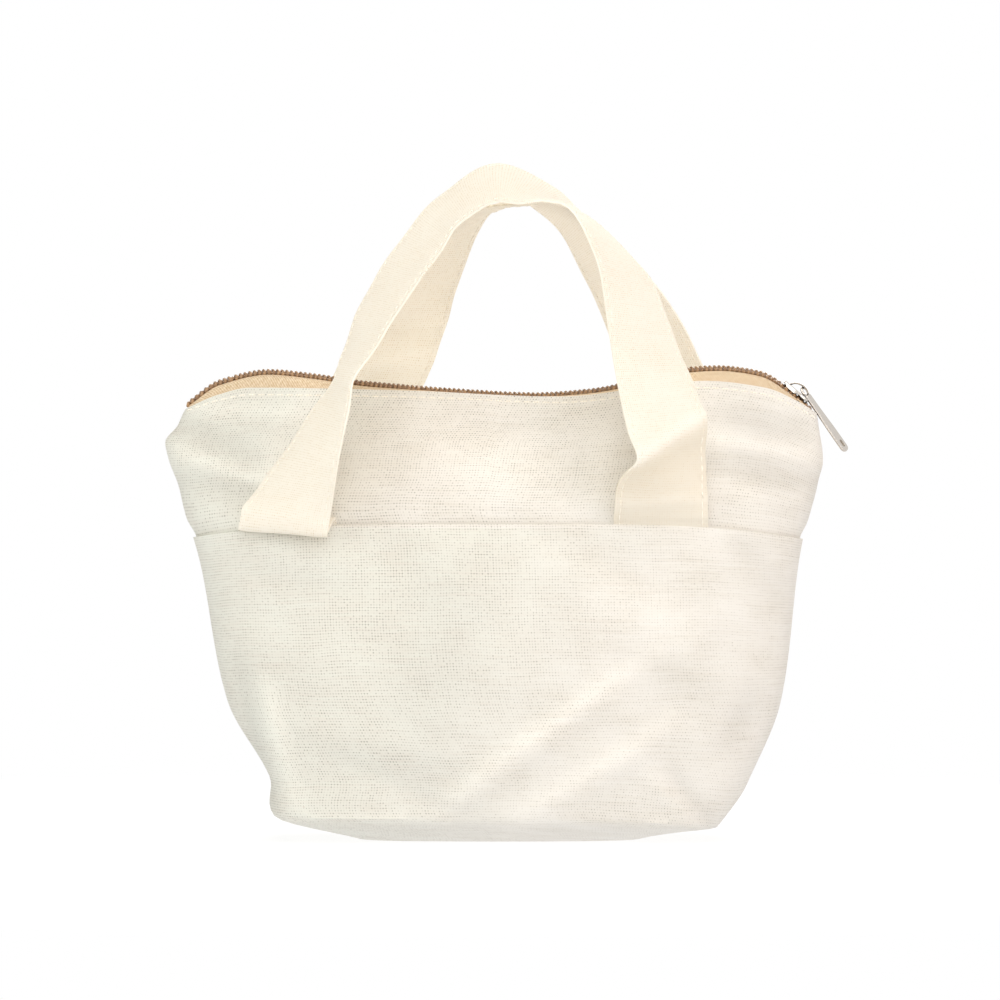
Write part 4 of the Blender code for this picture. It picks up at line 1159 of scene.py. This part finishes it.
def addSlider():
    tilt = math.radians(slider["tilt"])
    onward = np.array([math.cos(tilt), 0, -math.sin(tilt)])
    up = np.array([math.sin(tilt), 0, math.cos(tilt)])

    def placed(along, across, high):
        return np.array(slider["middle"]) + (along * onward + across * np.array([0, 1.0, 0]) + high * up) * mm

    edge = roundedBar(-5.9, 5.9, slider["half"], 0.8, 1.6)
    room, top, bevel = slider["room"], slider["room"] + slider["plate"], slider["bevel"]
    tail, head = slider["flangeEnds"]
    rim = room - slider["flange"] * easeIn((edge[:, 0] - tail) / 0.8) * easeIn((head - edge[:, 0]) / 0.6)
    parts = []
    for way in (1, -1):
        rings = []
        for line, high in ((drawnIn(edge, bevel), top), (edge, top - bevel), (edge, rim),
                           (drawnIn(edge, 0.7), rim),
                           (drawnIn(edge, 0.7), room)):
            rings.append([placed(a, c, way * h) for (a, c), h in zip(line, np.broadcast_to(high, len(line)))])
        parts.append(joinRings(rings, closed=False))
    parts.append(tubeAlong([placed(3.4, 0, -room), placed(3.4, 0, room)], 1.1 * mm, 10, roundEnds=False))
    crown = curveThrough([placed(a, 0, h) for a, h in slider["crown"]], 30)
    parts.append(tubeAlong(crown, slider["crownHalf"] * mm, 12, flat=slider["crownThin"]))
    body = addPiece("sliderBody", *gather(parts), nickel, sharp=35)
    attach(body, "slider")
    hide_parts("slider_body")


pull = {
    "pivot": (0.11526, 0, 0.16472),     # on the crown
    "fall": 55, "roll": 34,             # degrees: it hangs down along the shoulder, twisted to the front
    "start": 0.8, "end": 26.4, "half": ((0.8, 1.7), (6, 1.75), (20, 2.3), (26.4, 2.3)),      # mm
    "thick": 1.0, "bevel": 0.32, "slotAt": 23.0, "slotLong": 1.5, "slotWide": 0.75, "eye": 1.7,
    "eyeWire": 0.5,
}


def addPull():
    fall, roll = math.radians(pull["fall"]), math.radians(pull["roll"])
    down = np.array([math.cos(fall), 0, -math.sin(fall)])
    off = np.array([math.sin(fall), 0, math.cos(fall)])
    face = off * math.cos(roll) + np.array([0, -1.0, 0]) * math.sin(roll)
    wide = np.cross(face, down)

    def placed(along, across, high):
        return np.array(pull["pivot"]) + (along * down + across * wide + high * face) * mm

    edge = roundedBar(pull["start"], pull["end"], pull["half"], 1.0, 2.0)
    angle = np.arctan2(edge[:, 1], edge[:, 0] - pull["slotAt"])
    reach = ((np.abs(np.cos(angle)) / pull["slotLong"]) ** 4
             + (np.abs(np.sin(angle)) / pull["slotWide"]) ** 4) ** -0.25
    slotEdge = np.column_stack([pull["slotAt"] + np.cos(angle) * reach, np.sin(angle) * reach])
    top = pull["thick"] / 2
    lip = top - pull["bevel"]
    slim = drawnIn(edge, pull["bevel"])
    rings = [[placed(a, c, high) for a, c in line] for line, high in
             ((slim, -top), (edge, -lip), (edge, lip), (slim, top), (slotEdge, top), (slotEdge, -top))]
    turn = np.linspace(0.15, 2 * math.pi - 0.15, 26)
    eye = [placed(pull["eye"] * math.cos(a) - 0.4, pull["eye"] * math.sin(a), 0) for a in turn]
    tab = addPiece("pullTab",
                   *gather([joinRings(rings, closed=True), tubeAlong(eye, pull["eyeWire"] * mm, 8)]), nickel,
                   sharp=30)
    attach(tab, "pull")
    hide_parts("zip_pull_tab")


def addBottomStop():
    # a staple bent round the underside of the chain
    x = zipSpec["partsFrom"] - 1.2 * mm
    z = float(chainHeight(x)[0])
    path = [(x, -1.6 * mm, z - 0.9 * mm), (x, -1.6 * mm, z - 2.2 * mm), (x, 1.6 * mm, z - 2.2 * mm),
            (x, 1.6 * mm, z - 0.9 * mm)]
    stop = addPiece("bottomStop", *tubeAlong(path, 0.4 * mm, 8), nickel)
    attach(stop, "bag")
    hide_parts("zip_bottom_stop")


addSlider()
addPull()
addBottomStop()
print("metal made")
